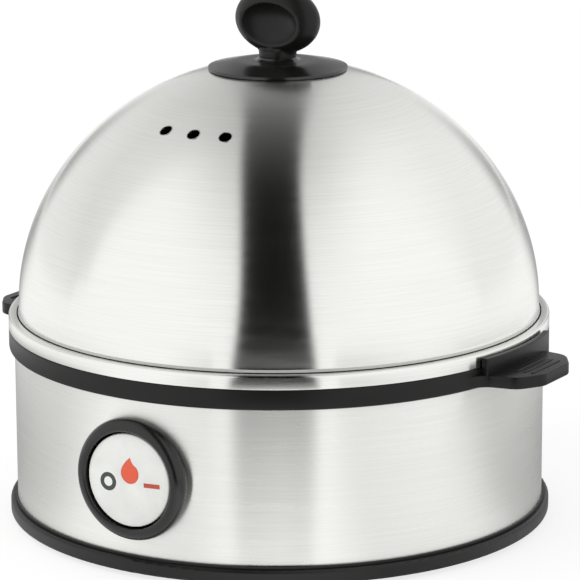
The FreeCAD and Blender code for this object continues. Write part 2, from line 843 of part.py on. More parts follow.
def make_element():
    """Sheathed ring element: an open ring whose two ends bend down to bare pins."""
    radius = float(element_ring_radius)
    height = float(plate_under)
    gap = float(s.element_gap_angle)
    bend = float(s.element_bend)
    start = Vector(0, radius, height)
    ends = []
    for sense in (-1, 1):
        swing = Rotation(Vector(0, 0, 1), sense * gap)
        tip = swing.multVec(start)
        inward = swing.multVec(Vector(sense, 0, 0))
        middle = tip + inward * (bend * math.sin(math.pi / 4))
        middle = middle + Vector(0, 0, -bend * (1 - math.cos(math.pi / 4)))
        foot = tip + inward * bend + Vector(0, 0, -bend)
        tail = foot + Vector(0, 0, -float(s.element_tail))
        ends.append((tip, middle, foot, tail))
    right, left = ends
    edges = [
        Part.LineSegment(right[3], right[2]).toShape(),
        Part.Arc(right[2], right[1], right[0]).toShape(),
        Part.Arc(right[0], Vector(0, -radius, height), left[0]).toShape(),
        Part.Arc(left[0], left[1], left[2]).toShape(),
        Part.LineSegment(left[2], left[3]).toShape(),
    ]
    path = Part.Wire(edges)
    section = Part.Wire(Part.makeCircle(float(s.element_radius), right[3], Vector(0, 0, 1)))
    sheath = path.makePipeShell([section], True, False)
    down = Vector(0, 0, -1)
    pins = [Part.makeCylinder(float(s.pin_radius), float(s.pin_length), end[3], down)
            for end in ends]
    element = doc.addObject("Part::Feature", "heating_element")
    element.Shape = sheath.fuse(pins).removeSplitter()
    keep(element, "heating_element")
    return [end[3] + down * float(s.pin_length) for end in ends]


def make_clamp():
    """Steel ring that holds the element up in its groove, open at the element's two ends."""
    body = new_body("clamp_ring")
    profile = block_outline(body, "clamp_profile", "XZ_Plane", clamp_inner_radius,
                            clamp_outer_radius, clamp_under, clamp_top)
    turn(body, "clamp", profile)
    half = s.clamp_notch_width / 2
    notch = block_outline(body, "notch_outline", "XY_Plane", -half, half, clamp_notch_start,
                          clamp_outer_radius + s.cut_overrun, clamp_top)
    raise_from(body, "notch", notch, s.clamp_thickness, "Pocket")
    spots = ring_spots(stud_ring_radius, s.stud_count, STUD_START)
    hole = s.stud_radius + s.slip_fit
    ring = rings(body, "clamp_holes_ring", "XY_Plane", [(x, y, hole) for x, y in spots], clamp_top)
    raise_from(body, "clamp_holes", ring, s.clamp_thickness, "Pocket")


def hexagon(body, name, flats, lift, x=0, y=0):
    """A regular hexagon by its width across flats."""
    reach = flats / (2 * cosine(HALF_TURN / 6))
    corners = []
    for step in range(6):
        angle = FULL_TURN * step / 6
        corners.append((x + reach * cosine(angle), y + reach * sine(angle)))
    return outline(body, name, "XY_Plane", corners, lift)


def make_nuts():
    """Three hexagon nuts on the bowl's studs."""
    body = new_body("clamp_nuts")
    foot = clamp_under - s.nut_height
    for index, (x, y) in enumerate(ring_spots(stud_ring_radius, s.stud_count, STUD_START)):
        blank = hexagon(body, f"nut_outline_{index}", s.nut_flats, foot, x, y)
        blank.addGeometry(Part.Circle(Vector(x.value, y.value, 0), Vector(0, 0, 1),
                                      (s.stud_radius + s.running_fit).value))
        bore = blank.GeometryCount - 1
        pin_point(blank, bore, 3, x, y)
        rule = Sketcher.Constraint("Radius", bore, (s.stud_radius + s.running_fit).value)
        number = blank.addConstraint(rule)
        blank.setExpression(f"Constraints[{number}]", (s.stud_radius + s.running_fit).text)
        raise_from(body, f"nut_{index}", blank, s.nut_height)


def make_thermostat():
    """Snap-disc thermostat against the plate, with its two blades."""
    body = new_body("thermostat")
    flange_foot = plate_under - s.thermostat_flange
    case_foot = plate_under - s.thermostat_height
    profile = outline(body, "thermostat_profile", "XZ_Plane", [
        (0, case_foot),
        (s.thermostat_radius, case_foot),
        (s.thermostat_radius, flange_foot),
        (s.thermostat_flange_radius, flange_foot),
        (s.thermostat_flange_radius, plate_under),
        (0, plate_under),
    ])
    turn(body, "case", profile)
    for side in (-1, 1):
        middle = side * s.blade_spacing / 2
        half = s.blade_thickness / 2
        blade = block_outline(body, f"blade_outline_{side + 1}", "XY_Plane", middle - half,
                              middle + half, -s.blade_width / 2, s.blade_width / 2, case_foot)
        raise_from(body, f"blade_{side + 1}", blade, s.blade_length, "Pad", True)


def make_thermostat_bracket():
    """Stepped steel bracket that holds the thermostat's flange up against the plate."""
    body = new_body("thermostat_bracket")
    step = plate_under - s.thermostat_flange
    half = s.bracket_length / 2
    inner = half - s.bracket_foot
    side = s.bracket_width / 2
    strap = block_outline(body, "strap_outline", "XY_Plane", -side, side, -half, half, step)
    raise_from(body, "strap", strap, s.clamp_thickness, "Pad", True)
    for index, low in enumerate((-half, inner)):
        foot = block_outline(body, f"foot_outline_{index}", "XY_Plane", -side, side, low,
                             low + s.bracket_foot, step)
        raise_from(body, f"foot_{index}", foot, s.thermostat_flange)
    bore = s.thermostat_radius + s.slip_fit * 2
    hole = s.screw_radius + s.slip_fit
    spots = [(0, 0, bore)] + [(x, y, hole) for x, y in plate_screw_spots()[:2]]
    holes = rings(body, "bracket_rings", "XY_Plane", spots, plate_under)
    raise_from(body, "bracket_holes", holes, s.thermostat_flange + s.clamp_thickness, "Pocket")


def make_fuse():
    """Thermal fuse: a small cylinder lying along Y under the plate."""
    fuse = rod("thermal_fuse", s.fuse_radius, s.fuse_length, x=fuse_offset,
               y=-s.fuse_length / 2, z=plate_under - s.fuse_radius, axis=Vector(-1, 0, 0),
               angle=QUARTER_TURN)
    keep(fuse, "thermal_fuse")


def make_fuse_clip():
    """Steel band round the fuse, with a tab that is screwed to the plate."""
    inner = s.fuse_radius + s.slip_fit
    outer = clip_radius
    axle = plate_under - s.fuse_radius
    turned = {"axis": Vector(-1, 0, 0), "angle": QUARTER_TURN}
    tube = rod("clip_tube", outer, s.clip_band, x=fuse_offset, y=-s.clip_band / 2, z=axle,
               **turned)
    cheeks = brick("clip_cheeks", outer * 2, s.clip_band, s.fuse_radius, x=fuse_offset, z=axle)
    foot_height = s.thermostat_flange + s.clamp_thickness
    x, y = plate_screw_spots()[2]
    tab_length = x - fuse_offset + s.clip_tab / 2
    tab = brick("clip_foot", tab_length, s.clip_band, foot_height,
                x=fuse_offset + tab_length / 2, z=plate_under - foot_height)
    whole = joined("clip_whole", [tube, cheeks, tab])
    bore = rod("clip_bore", inner, s.clip_band + s.cut_overrun * 2, x=fuse_offset,
               y=-s.clip_band / 2 - s.cut_overrun, z=axle, **turned)
    mouth = brick("clip_mouth", inner * 2, s.clip_band + s.cut_overrun * 2,
                  s.fuse_radius + s.cut_overrun, x=fuse_offset, z=axle)
    hole = rod("clip_hole", s.screw_radius + s.slip_fit, foot_height + s.cut_overrun * 2, x=x, y=y,
               z=plate_under - foot_height - s.cut_overrun)
    above = brick("clip_above", s.plate_radius, s.plate_radius, s.fuse_radius, x=fuse_offset,
                  z=plate_under)
    tools = joined("clip_tools", [bore, mouth, hole, above])
    keep(cut_from("fuse_clip", whole, tools), "fuse_clip")


def make_plate_screws():
    """Screws of the thermostat bracket and the fuse clip, driven up into the heat plate."""
    seat = plate_under - s.thermostat_flange - s.clamp_thickness
    fastener("plate_screws", s.screw_radius, s.plate_screw_length, s.screw_head_radius,
             s.screw_head_height, plate_screw_spots(), seat)


def make_earth_tab():
    """Bent blade spot-welded under the clamp ring for the earth lead."""
    body = new_body("earth_tab")
    start = earth_tab_start
    thick = s.blade_thickness
    foot = clamp_under - s.earth_tab_drop
    profile = outline(body, "tab_profile", "YZ_Plane", [
        (start, foot),
        (start + thick, foot),
        (start + thick, clamp_under - thick),
        (start + s.earth_tab_reach, clamp_under - thick),
        (start + s.earth_tab_reach, clamp_under),
        (start, clamp_under),
    ], -s.blade_width / 2)
    raise_from(body, "tab", profile, s.blade_width)


def make_terminal_block():
    """Three-pole block on the floor in front of the gland, with its screws."""
    body = new_body("terminal_block")
    low = block_offset - s.block_depth / 2
    case = block_outline(body, "block_outline", "XY_Plane", -s.block_width / 2, s.block_width / 2,
                         low, low + s.block_depth, floor_top)
    raise_from(body, "block", case, s.block_height)
    bore = s.lead_radius + s.slip_fit * 2
    spots = [(pole * s.pole_spacing if pole else 0, floor_top + s.pole_height, bore)
             for pole in (-1, 0, 1)]
    ways = rings(body, "way_rings", "XZ_Plane", spots, -low - s.block_depth)
    raise_from(body, "ways", ways, s.block_depth, "Pocket", True)
    top = floor_top + s.block_height
    wells = [(x, block_offset, s.pole_screw_radius + s.slip_fit) for x, _, _ in spots]
    holes = rings(body, "well_rings", "XY_Plane", wells, top)
    raise_from(body, "wells", holes, s.pole_screw_length + s.slip_fit, "Pocket")
    screws = []
    foot = top - s.pole_screw_length
    for index, (x, y, _) in enumerate(wells):
        blank = rod(f"pole_blank_{index}", s.pole_screw_radius, s.pole_screw_length - s.slip_fit,
                    x=x, y=y, z=foot)
        slot = brick(f"pole_slot_{index}", s.pole_screw_radius * 3, s.blade_thickness,
                     s.blade_thickness, x=x, y=y, z=top - s.slip_fit - s.blade_thickness)
        screws.append(cut_from(f"pole_screw_{index}", blank, slot))
    group = doc.addObject("Part::Compound", "terminal_screws")
    group.Links = screws
    keep(group, "terminal_screws")


def make_gland():
    """Moulded bush that the mains lead enters through, with its nut inside the sleeve."""
    body = new_body("cord_gland")
    flange_back = -s.gland_flange_radius * s.gland_flange_radius / s.sleeve_radius
    profile = outline(body, "gland_profile", "XZ_Plane", [
        (s.gland_bore_radius, -s.gland_inner_length),
        (s.gland_tube_radius, -s.gland_inner_length),
        (s.gland_tube_radius, flange_back),
        (s.gland_flange_radius, flange_back),
        (s.gland_flange_radius, s.gland_stand, s.gland_round),
        (s.gland_bore_radius, s.gland_stand),
    ])
    turn(body, "bush", profile)
    facing_back(body)
    wall = rod("gland_saddle", s.sleeve_radius, deck)
    tube = rod("gland_keep", s.gland_tube_radius, s.sleeve_radius, z=s.gland_height,
               axis=Vector(-1, 0, 0), angle=QUARTER_TURN)
    saddle = cut_from("gland_saddle_tool", wall, tube)
    parts.remove(body)
    body.Label = "gland_bush"
    keep(cut_from("cord_gland_cut", body, saddle), "cord_gland")
    nut = new_body("gland_nut")
    back = -s.sheet_thickness - s.gland_nut_height
    reach = s.gland_nut_flats / (2 * cosine(HALF_TURN / 6))
    drop = sleeve_inner - root(sleeve_inner * sleeve_inner - reach * reach)
    blank = hexagon(nut, "nut_blank", s.gland_nut_flats, back - drop)
    raise_from(nut, "nut", blank, s.gland_nut_height)
    bore = rings(nut, "nut_ring", "XY_Plane", [(0, 0, s.gland_tube_radius + s.running_fit)],
                 back - drop)
    raise_from(nut, "nut_bore", bore, s.gland_nut_height, "Pocket", True)
    facing_back(nut)


def make_bezel():
    """Round black bezel: a rounded bead outside the sleeve and a tube through it."""
    body = new_body("bezel_blank")
    parts.remove(body)
    stand = s.bezel_stand
    mouth = bezel_mouth_radius
    saddle_depth = bezel_radius * bezel_radius / s.sleeve_radius
    profile = outline(body, "bezel_profile", "XZ_Plane", [
        (bezel_tube_bore, -s.bezel_tube_depth),
        (bezel_tube_radius, -s.bezel_tube_depth),
        (bezel_tube_radius, -saddle_depth),
        (bezel_radius, -saddle_depth),
        (bezel_radius, stand, s.bezel_round),
        (mouth, stand, s.bezel_mouth_round),
        (mouth, stand - s.bezel_mouth_depth * 2),
        (bezel_tube_bore, stand - s.bezel_mouth_depth * 2),
    ])
    turn(body, "bezel", profile)
    facing_front(body)
    bosses = []
    for side in (-1, 1):
        boss = rod(f"bezel_boss_{side + 1}", s.bezel_boss_radius, s.bezel_boss_height)
        place(boss, x=side * bezel_boss_offset, y=s.bezel_tube_depth - s.sleeve_radius,
              z=control_height, axis=Vector(1, 0, 0), angle=QUARTER_TURN)
        reach = bezel_tube_bore + s.slip_fit - bezel_boss_offset
        rib = brick(f"bezel_rib_{side + 1}", reach, s.bezel_boss_height, s.bezel_boss_radius,
                    x=side * (bezel_boss_offset + reach / 2),
                    y=s.bezel_tube_depth - s.bezel_boss_height / 2 - s.sleeve_radius,
                    z=control_height - s.bezel_boss_radius / 2)
        bosses += [boss, rib]
    whole = joined("bezel_whole", [body] + bosses)
    wall = rod("bezel_wall", s.sleeve_radius, deck)
    tube = rod("bezel_keep", bezel_tube_radius, s.sleeve_radius, z=control_height,
               axis=Vector(1, 0, 0), angle=QUARTER_TURN)
    saddle = cut_from("bezel_saddle", wall, tube)
    holes = []
    for side in (-1, 1):
        hole = rod(f"bezel_pilot_{side + 1}", s.switch_screw_radius + s.running_fit,
                   s.switch_screw_length)
        place(hole, x=side * bezel_boss_offset, y=s.bezel_tube_depth - s.sleeve_radius,
              z=control_height, axis=Vector(1, 0, 0), angle=QUARTER_TURN)
        holes.append(hole)
    tools = joined("bezel_tools", [saddle] + holes)
    keep(cut_from("control_bezel", whole, tools), "control_bezel")


def make_switch():
    """Switch behind the bezel, with the two ears that the rocker turns in, and its screws."""
    body = new_body("switch_body")
    front = -s.bezel_tube_depth
    back = front - s.switch_flange
    plate = rings(body, "flange_ring", "XY_Plane", [(0, 0, switch_flange_radius)], back)
    raise_from(body, "flange", plate, s.switch_flange)
    half_width = switch_width / 2
    half_height = switch_width / 2
    case = block_outline(body, "case_outline", "XY_Plane", -half_width, half_width, -half_height,
                         half_height, back)
    raise_from(body, "case", case, s.switch_depth, "Pad", True)
    pivot = -s.rocker_pivot_depth
    ear_foot = rocker_ear_outer + s.air_gap
    ear_top = pivot + s.rocker_pin_radius * 2
    for side in (-1, 1):
        low, high = ear_foot, ear_foot + s.switch_ear_thickness
        if side < 0:
            low, high = -high, -low
        ear = block_outline(body, f"ear_outline_{side + 1}", "XY_Plane", -s.switch_ear_half_width,
                            s.switch_ear_half_width, low, high, front)
        raise_from(body, f"ear_{side + 1}", ear, ear_top - front)
    bore = rings(body, "pivot_ring", "XZ_Plane", [(0, pivot, s.rocker_pin_radius + s.running_fit)],
                 -switch_flange_radius)
    raise_from(body, "pivot_bore", bore, switch_flange_radius * 2, "Pocket", True)
    hole = s.switch_screw_radius + s.slip_fit
    spots = [(side * bezel_boss_offset, 0, hole) for side in (-1, 1)]
    holes = rings(body, "screw_rings", "XY_Plane", spots, front)
    raise_from(body, "screw_holes", holes, s.switch_flange, "Pocket")
    for side in (-1, 1):
        middle = side * s.switch_blade_offset
        half = s.blade_thickness / 2
        low = -s.switch_blade_offset - s.blade_width / 2
        blade = block_outline(body, f"blade_outline_{side + 1}", "XY_Plane", middle - half,
                              middle + half, low, low + s.blade_width, back - s.switch_depth)
        raise_from(body, f"blade_{side + 1}", blade, s.blade_length, "Pad", True)
    facing_front(body)
    screws = new_body("switch_screws")
    for side in (-1, 1):
        spot = side * bezel_boss_offset
        head = rings(screws, f"head_ring_{side + 1}", "XY_Plane",
                     [(spot, 0, s.switch_screw_head_radius)], back)
        raise_from(screws, f"head_{side + 1}", head, s.switch_screw_head_height, "Pad", True)
        shank = rings(screws, f"shank_ring_{side + 1}", "XY_Plane",
                      [(spot, 0, s.switch_screw_radius)], back)
        raise_from(screws, f"shank_{side + 1}", shank, s.switch_screw_length)
    facing_front(screws)


def make_lamp():
    """Neon lamp lying on the switch, behind the drop-shaped lens."""
    radius = s.lamp_radius
    depth = s.bezel_tube_depth - radius
    centre = s.drop_offset - s.lamp_length / 2
    glass = rod("lamp_glass", radius, s.lamp_length, y=depth - s.sleeve_radius,
                z=control_height + centre)
    tip = primitive("Sphere", "lamp_tip", {"Radius": radius})
    place(tip, y=depth - s.sleeve_radius, z=control_height + centre + s.lamp_length)
    keep(joined("neon_lamp", [glass, tip]), "neon_lamp")


def drop_face(grow, lift):
    """The drop's outline, round below and pointed above, enlarged by a margin."""
    radius = float(s.drop_width / 2 + grow)
    reach = float(s.drop_height) - float(s.drop_width) / 2 + float(grow) * 2
    low = float(s.drop_offset - s.drop_height / 2 + s.drop_width / 2)
    half = math.acos(radius / reach)
    tip = Vector(0, low + reach, lift)
    sides = []
    for side in (-1, 1):
        angle = math.pi / 2 - side * half
        sides.append(Vector(radius * math.cos(angle), low + radius * math.sin(angle), lift))
    left, right = sides
    bottom = Vector(0, low - radius, lift)
    edges = [
        Part.Arc(left, bottom, right).toShape(),
        Part.LineSegment(right, tip).toShape(),
        Part.LineSegment(tip, left).toShape(),
    ]
    return Part.Face(Part.Wire(edges))


def make_rocker():
    """Round rocker cap with its two pivot ears, and the drop-shaped lens set into it."""
    body = new_body("rocker_blank")
    parts.remove(body)
    face = s.bezel_stand - s.rocker_recess
    under = face - s.rocker_thickness
    profile = outline(body, "cap_profile", "XZ_Plane", [
        (0, under),
        (rocker_radius, under),
        (rocker_radius, face, s.rocker_edge_round),
        (0, face),
    ])
    turn(body, "cap", profile)
    pivot = -s.rocker_pivot_depth
    half = s.rocker_ear_half_width
    foot = pivot - s.rocker_pin_radius * 1.5
    for side in (-1, 1):
        low, high = rocker_ear_inner, rocker_ear_outer
        start = rocker_ear_outer
        if side < 0:
            low, high = -high, -low
            start = -rocker_ear_outer - s.rocker_pin_length
        ear = block_outline(body, f"ear_outline_{side + 1}", "XY_Plane", -half, half, low, high,
                            foot)
        raise_from(body, f"ear_{side + 1}", ear, under - foot)
        pin = rings(body, f"pin_ring_{side + 1}", "XZ_Plane", [(0, pivot, s.rocker_pin_radius)],
                    -start)
        raise_from(body, f"pin_{side + 1}", pin, s.rocker_pin_length, "Pad", True)
    facing_front(body)
    stand = Placement(Vector(0, -s.sleeve_radius.value, control_height.value),
                      Rotation(Vector(1, 0, 0), QUARTER_TURN))
    window = doc.addObject("Part::Feature", "lens_window")
    thick = float(s.rocker_thickness + s.cut_overrun * 2)
    cutter = drop_face(s.running_fit, float(under - s.cut_overrun))
    window.Shape = cutter.extrude(Vector(0, 0, thick))
    window.Placement = stand
    keep(cut_from("rocker_cap", body, window), "rocker_cap")
    lens = doc.addObject("Part::Feature", "indicator_lens")
    lens.Shape = drop_face(0, float(under)).extrude(Vector(0, 0, float(s.rocker_thickness)))
    lens.Placement = stand
    keep(lens, "indicator_lens")


def route(label, points):
    """One insulated lead along straight runs joined by arcs as large as the runs allow."""
    runs = [(after - before).Length for before, after in zip(points, points[1:])]
    edges = []
    last = points[0]
    tightest = None
    for index in range(1, len(points) - 1):
        before, corner, after = points[index - 1:index + 2]
        turned = math.pi - (before - corner).getAngle(after - corner)
        radius = 0.45 * min(runs[index - 1], runs[index]) / math.tan(turned / 2)
        start, end, centre, _ = rounding(before, corner, after, radius)
        middle = centre + (corner - centre).normalize() * radius
        edges.append(Part.LineSegment(last, start).toShape())
        edges.append(Part.Arc(start, middle, end).toShape())
        last = end
        tightest = radius if tightest is None else min(tightest, radius)
    edges.append(Part.LineSegment(last, points[-1]).toShape())
    path = Part.Wire(edges)
    radius = float(s.lead_radius)
    section = Part.Wire(Part.makeCircle(radius, points[0], points[1] - points[0]))
    lead = doc.addObject("Part::Feature", label)
    lead.Shape = path.makePipeShell([section], True, False)
    expected = math.pi * radius * radius * path.Length
    print(f"{label}: tightest bend {tightest:.1f}, volume over section times length "
          f"{lead.Shape.Volume / expected:.4f}")
    keep(lead, label)


def make_leads(pins):
    """The leads that the base holds: block, switch, thermostat, fuse and element."""
    low = float(floor_top + s.lead_radius * 2)
    pole = float(floor_top + s.pole_height)
    mouth = float(block_offset - s.block_depth / 2)
    pole_step = float(s.pole_spacing)
    spread = float(s.lead_spread)
    blade = float(s.blade_spacing / 2)
    blade_foot = float(plate_under - s.thermostat_height - s.blade_length)
    tail = float(s.switch_flange + s.switch_depth + s.blade_length + s.bezel_tube_depth)
    front = tail - float(s.sleeve_radius)
    switch = float(s.switch_blade_offset)
    switch_height = float(control_height) - switch
    fuse = float(fuse_offset)
    fuse_end = float(s.fuse_length / 2)
    fuse_height = float(plate_under - s.fuse_radius)
    tab = float(earth_tab_start + s.blade_thickness / 2)
    tab_foot = float(clamp_under - s.earth_tab_drop)
    middle = (low + tab_foot) / 2
    right, left = pins
    if right.x < left.x:
        right, left = left, right
    route("live_lead", [
        Vector(pole_step, mouth, pole),
        Vector(pole_step, mouth - spread * 0.17, pole),
        Vector(spread * 0.5, spread * 0.52, low),
        Vector(spread * 0.86, spread * 0.12, low),
        Vector(spread * 0.76, -spread * 0.46, low),
        Vector(spread * 0.36, -spread * 0.78, middle),
        Vector(switch, front + spread * 0.15, switch_height),
        Vector(switch, front, switch_height),
    ])
    route("switch_lead", [
        Vector(-switch, front, switch_height),
        Vector(-switch, front + spread * 0.2, switch_height),
        Vector(-switch, -spread * 0.42, middle),
        Vector(-blade, -spread * 0.16, low),
        Vector(-blade, 0, low + spread * 0.01),
        Vector(-blade, 0, blade_foot),
    ])
    route("fuse_lead", [
        Vector(blade, 0, blade_foot),
        Vector(blade, 0, low),
        Vector(blade, spread * 0.16, low),
        Vector(fuse * 0.62, spread * 0.4, middle),
        Vector(fuse, spread * 0.36, (middle + fuse_height) / 2),
        Vector(fuse, fuse_end + spread * 0.12, fuse_height),
        Vector(fuse, fuse_end, fuse_height),
    ])
    route("element_lead", [
        Vector(fuse, -fuse_end, fuse_height),
        Vector(fuse, -fuse_end - spread * 0.12, fuse_height),
        Vector(fuse + spread * 0.06, -spread * 0.4, (middle + fuse_height) / 2),
        Vector(fuse + spread * 0.3, -spread * 0.2, middle),
        Vector(fuse + spread * 0.3, spread * 0.28, middle),
        Vector(right.x + spread * 0.14, right.y - spread * 0.16, low + spread * 0.09),
        Vector(right.x, right.y, low + spread * 0.05),
        right,
    ])
    route("neutral_lead", [
        left,
        Vector(left.x, left.y, low + spread * 0.02),
        Vector(left.x - spread * 0.05, left.y - spread * 0.18, low),
        Vector(left.x - spread * 0.02, left.y - spread * 0.34, low),
        Vector(-pole_step, left.y - spread * 0.34, low),
        Vector(-pole_step, mouth - spread * 0.17, pole),
        Vector(-pole_step, mouth, pole),
    ])
    route("earth_lead", [
        Vector(0, mouth, pole),
        Vector(0, tab, pole),
        Vector(0, tab, tab_foot),
    ])


def make_rack_ring():
    """Black ring of the egg rack with its two carrying handles and the stops beside the lid."""
    body = new_body("rack_ring")
    edge = s.rack_edge_round
    guide_top = rack_top + s.rack_guide_height
    profile = outline(body, "rack_profile", "XZ_Plane", [
        (rack_flange_radius, deck),
        (rack_radius, deck, edge),
        (rack_radius, rack_top, edge),
        (guide_radius, rack_top),
        (guide_radius, guide_top, edge / 2),
        (rack_inner, guide_top, edge / 2),
        (rack_inner, tray_under),
        (rack_flange_radius, tray_under),
    ])
    turn(body, "ring", profile)
    half = s.handle_root_half_width
    root_reach = root(rack_radius * rack_radius - half * half) - s.rack_wall / 2
    corner = s.handle_corner_half_width
    soft = s.handle_corner_round
    lug_outline = outline(body, "handle_outline", "XY_Plane", [
        (root_reach, -half),
        (handle_corner_reach, -corner, soft),
        (handle_reach, -corner / 2, soft),
        (handle_reach, corner / 2, soft),
        (handle_corner_reach, corner, soft),
        (root_reach, half),
    ], deck)
    features = [raise_from(body, "handle", lug_outline, s.handle_thickness)]
    top = deck + s.handle_thickness
    for step in range(int(value_of(s.handle_ridge_count))):
        low = handle_ridge_start + step * s.handle_ridge_pitch
        reach = s.handle_ridge_half_length
        ridge = block_outline(body, f"ridge_outline_{step}", "XY_Plane", low,
                              low + s.handle_ridge_width, -reach, reach, top)
        features.append(raise_from(body, f"ridge_{step}", ridge, s.handle_ridge_height))
    gap = rack_radius + s.stop_gap
    outer = gap + s.stop_thickness
    stop = sector(body, "stop_outline", gap, outer, 0, s.stop_half_angle, deck)
    features.append(raise_from(body, "stop", stop, s.rack_height + s.stop_height))
    around(body, "handles", features, 2)
    spots = ring_spots(tray_screw_ring_radius, s.tray_screw_count, TRAY_SCREW_START)
    pilot = s.tray_screw_radius + s.running_fit
    holes = rings(body, "pilot_rings", "XY_Plane", [(x, y, pilot) for x, y in spots], tray_under)
    raise_from(body, "pilots", holes, s.rack_flange_thickness, "Pocket")


def make_tray():
    """Steel tray of the egg rack: seven flanged egg holes with steam holes between them."""
    body = new_body("rack_tray")
    collar = s.egg_hole_radius + s.sheet_thickness
    collar_foot = tray_under - s.egg_collar_height
    tray_top = tray_under + s.tray_thickness
    disc = rings(body, "tray_ring", "XY_Plane", [(0, 0, tray_radius)], tray_under)
    raise_from(body, "tray", disc, s.tray_thickness)
    spots = [(0, 0)] + ring_spots(egg_ring_radius, s.egg_ring_count, 0)
    collars = rings(body, "collar_rings", "XY_Plane", [(x, y, collar) for x, y in spots],
                    collar_foot)
    raise_from(body, "collars", collars, s.egg_collar_height)
    eggs = rings(body, "egg_rings", "XY_Plane", [(x, y, s.egg_hole_radius) for x, y in spots],
                 tray_top)
    raise_from(body, "egg_holes", eggs, s.tray_thickness + s.egg_collar_height, "Pocket")
    between = FULL_TURN / value_of(s.egg_ring_count) / 2
    small = []
    inner_ring = egg_ring_radius / (2 * cosine(between))
    outer_ring = tray_radius - s.steam_slot_inset
    for ring in (inner_ring, outer_ring):
        small += [(x, y, s.steam_slot_radius)
                  for x, y in ring_spots(ring, s.egg_ring_count, between)]
    screw_hole = s.tray_screw_radius + s.slip_fit
    small += [(x, y, screw_hole)
              for x, y in ring_spots(tray_screw_ring_radius, s.tray_screw_count,
                                     TRAY_SCREW_START)]
    holes = rings(body, "small_rings", "XY_Plane", small, tray_top)
    raise_from(body, "small_holes", holes, s.tray_thickness, "Pocket")
    spots = ring_spots(tray_screw_ring_radius, s.tray_screw_count, TRAY_SCREW_START)
    length = s.tray_thickness + s.rack_flange_thickness - s.slip_fit
    fastener("tray_screws", s.tray_screw_radius, length, s.tray_screw_head_radius,
             s.tray_screw_head_height, spots, tray_top, False)


def dome_height_at(radius):
    """Height of the dome's outside at a radius."""
    share = radius / dome_radius
    return dome_base + s.dome_height * root(1 - share * share)


def make_dome():
    """Brushed steel lid: half an ellipsoid on a stepped skirt, with three steam holes."""
    wall = s.sheet_thickness
    outer = primitive("Ellipsoid", "dome_outer", {
        "Radius1": s.dome_height,
        "Radius2": dome_radius,
        "Radius3": dome_radius,
        "Angle1": 0,
        "Angle2": QUARTER_TURN,
    })
    inner = primitive("Ellipsoid", "dome_inner", {
        "Radius1": dome_inner_height,
        "Radius2": dome_inner_radius,
        "Radius3": dome_inner_radius,
        "Angle1": 0,
        "Angle2": QUARTER_TURN,
    })
    for piece in (outer, inner):
        place(piece, z=dome_base)
    shell = cut_from("dome_shell", outer, inner)
    body = new_body("skirt_blank")
    parts.remove(body)
    shoulder = rack_top + s.skirt_height
    crease = shoulder + s.crease_rise
    flare = crease + s.flare_rise
    band = rack_radius
    profile = outline(body, "skirt_profile", "XZ_Plane", [
        (band - wall, rack_top),
        (band, rack_top),
        (band, shoulder, s.skirt_round),
        (crease_radius, crease),
        (dome_radius, flare),
        (dome_radius, dome_base),
        (dome_inner_radius, dome_base),
        (dome_inner_radius, flare - wall),
        (crease_radius - wall, crease - wall),
        (band - wall, shoulder - wall, s.skirt_round - wall),
    ])
    turn(body, "skirt", profile)
    whole = joined("lid_whole", [shell, body])
    ring = s.steam_hole_ring_radius
    height = dome_height_at(ring)
    run = ring / (dome_radius * dome_radius)
    rise = (height - dome_base) / (s.dome_height * s.dome_height)
    tilt = math.degrees(math.atan2(run.value, rise.value))
    tools = [rod("knob_hole", s.knob_hole_radius, s.dome_height, z=dome_base)]
    depth = (wall + s.cut_overrun) * 2
    count = int(value_of(s.steam_hole_count))
    for index in range(count):
        swing = (index - (count - 1) / 2) * s.steam_hole_step_angle
        turned = Rotation(Vector(0, 0, 1), swing.value) * Rotation(Vector(1, 0, 0), tilt)
        hole = primitive("Cylinder", f"steam_hole_{index}", {
            "Radius": s.steam_hole_radius,
            "Height": depth,
        })
        foot = turned.multVec(Vector(0, 0, -depth.value / 2))
        spot = Vector(ring.value * sine(swing).value, -ring.value * cosine(swing).value,
                      height.value)
        hole.Placement = Placement(spot + foot, turned)
        tools.append(hole)
    keep(cut_from("lid_dome", whole, joined("lid_tools", tools)), "lid_dome")


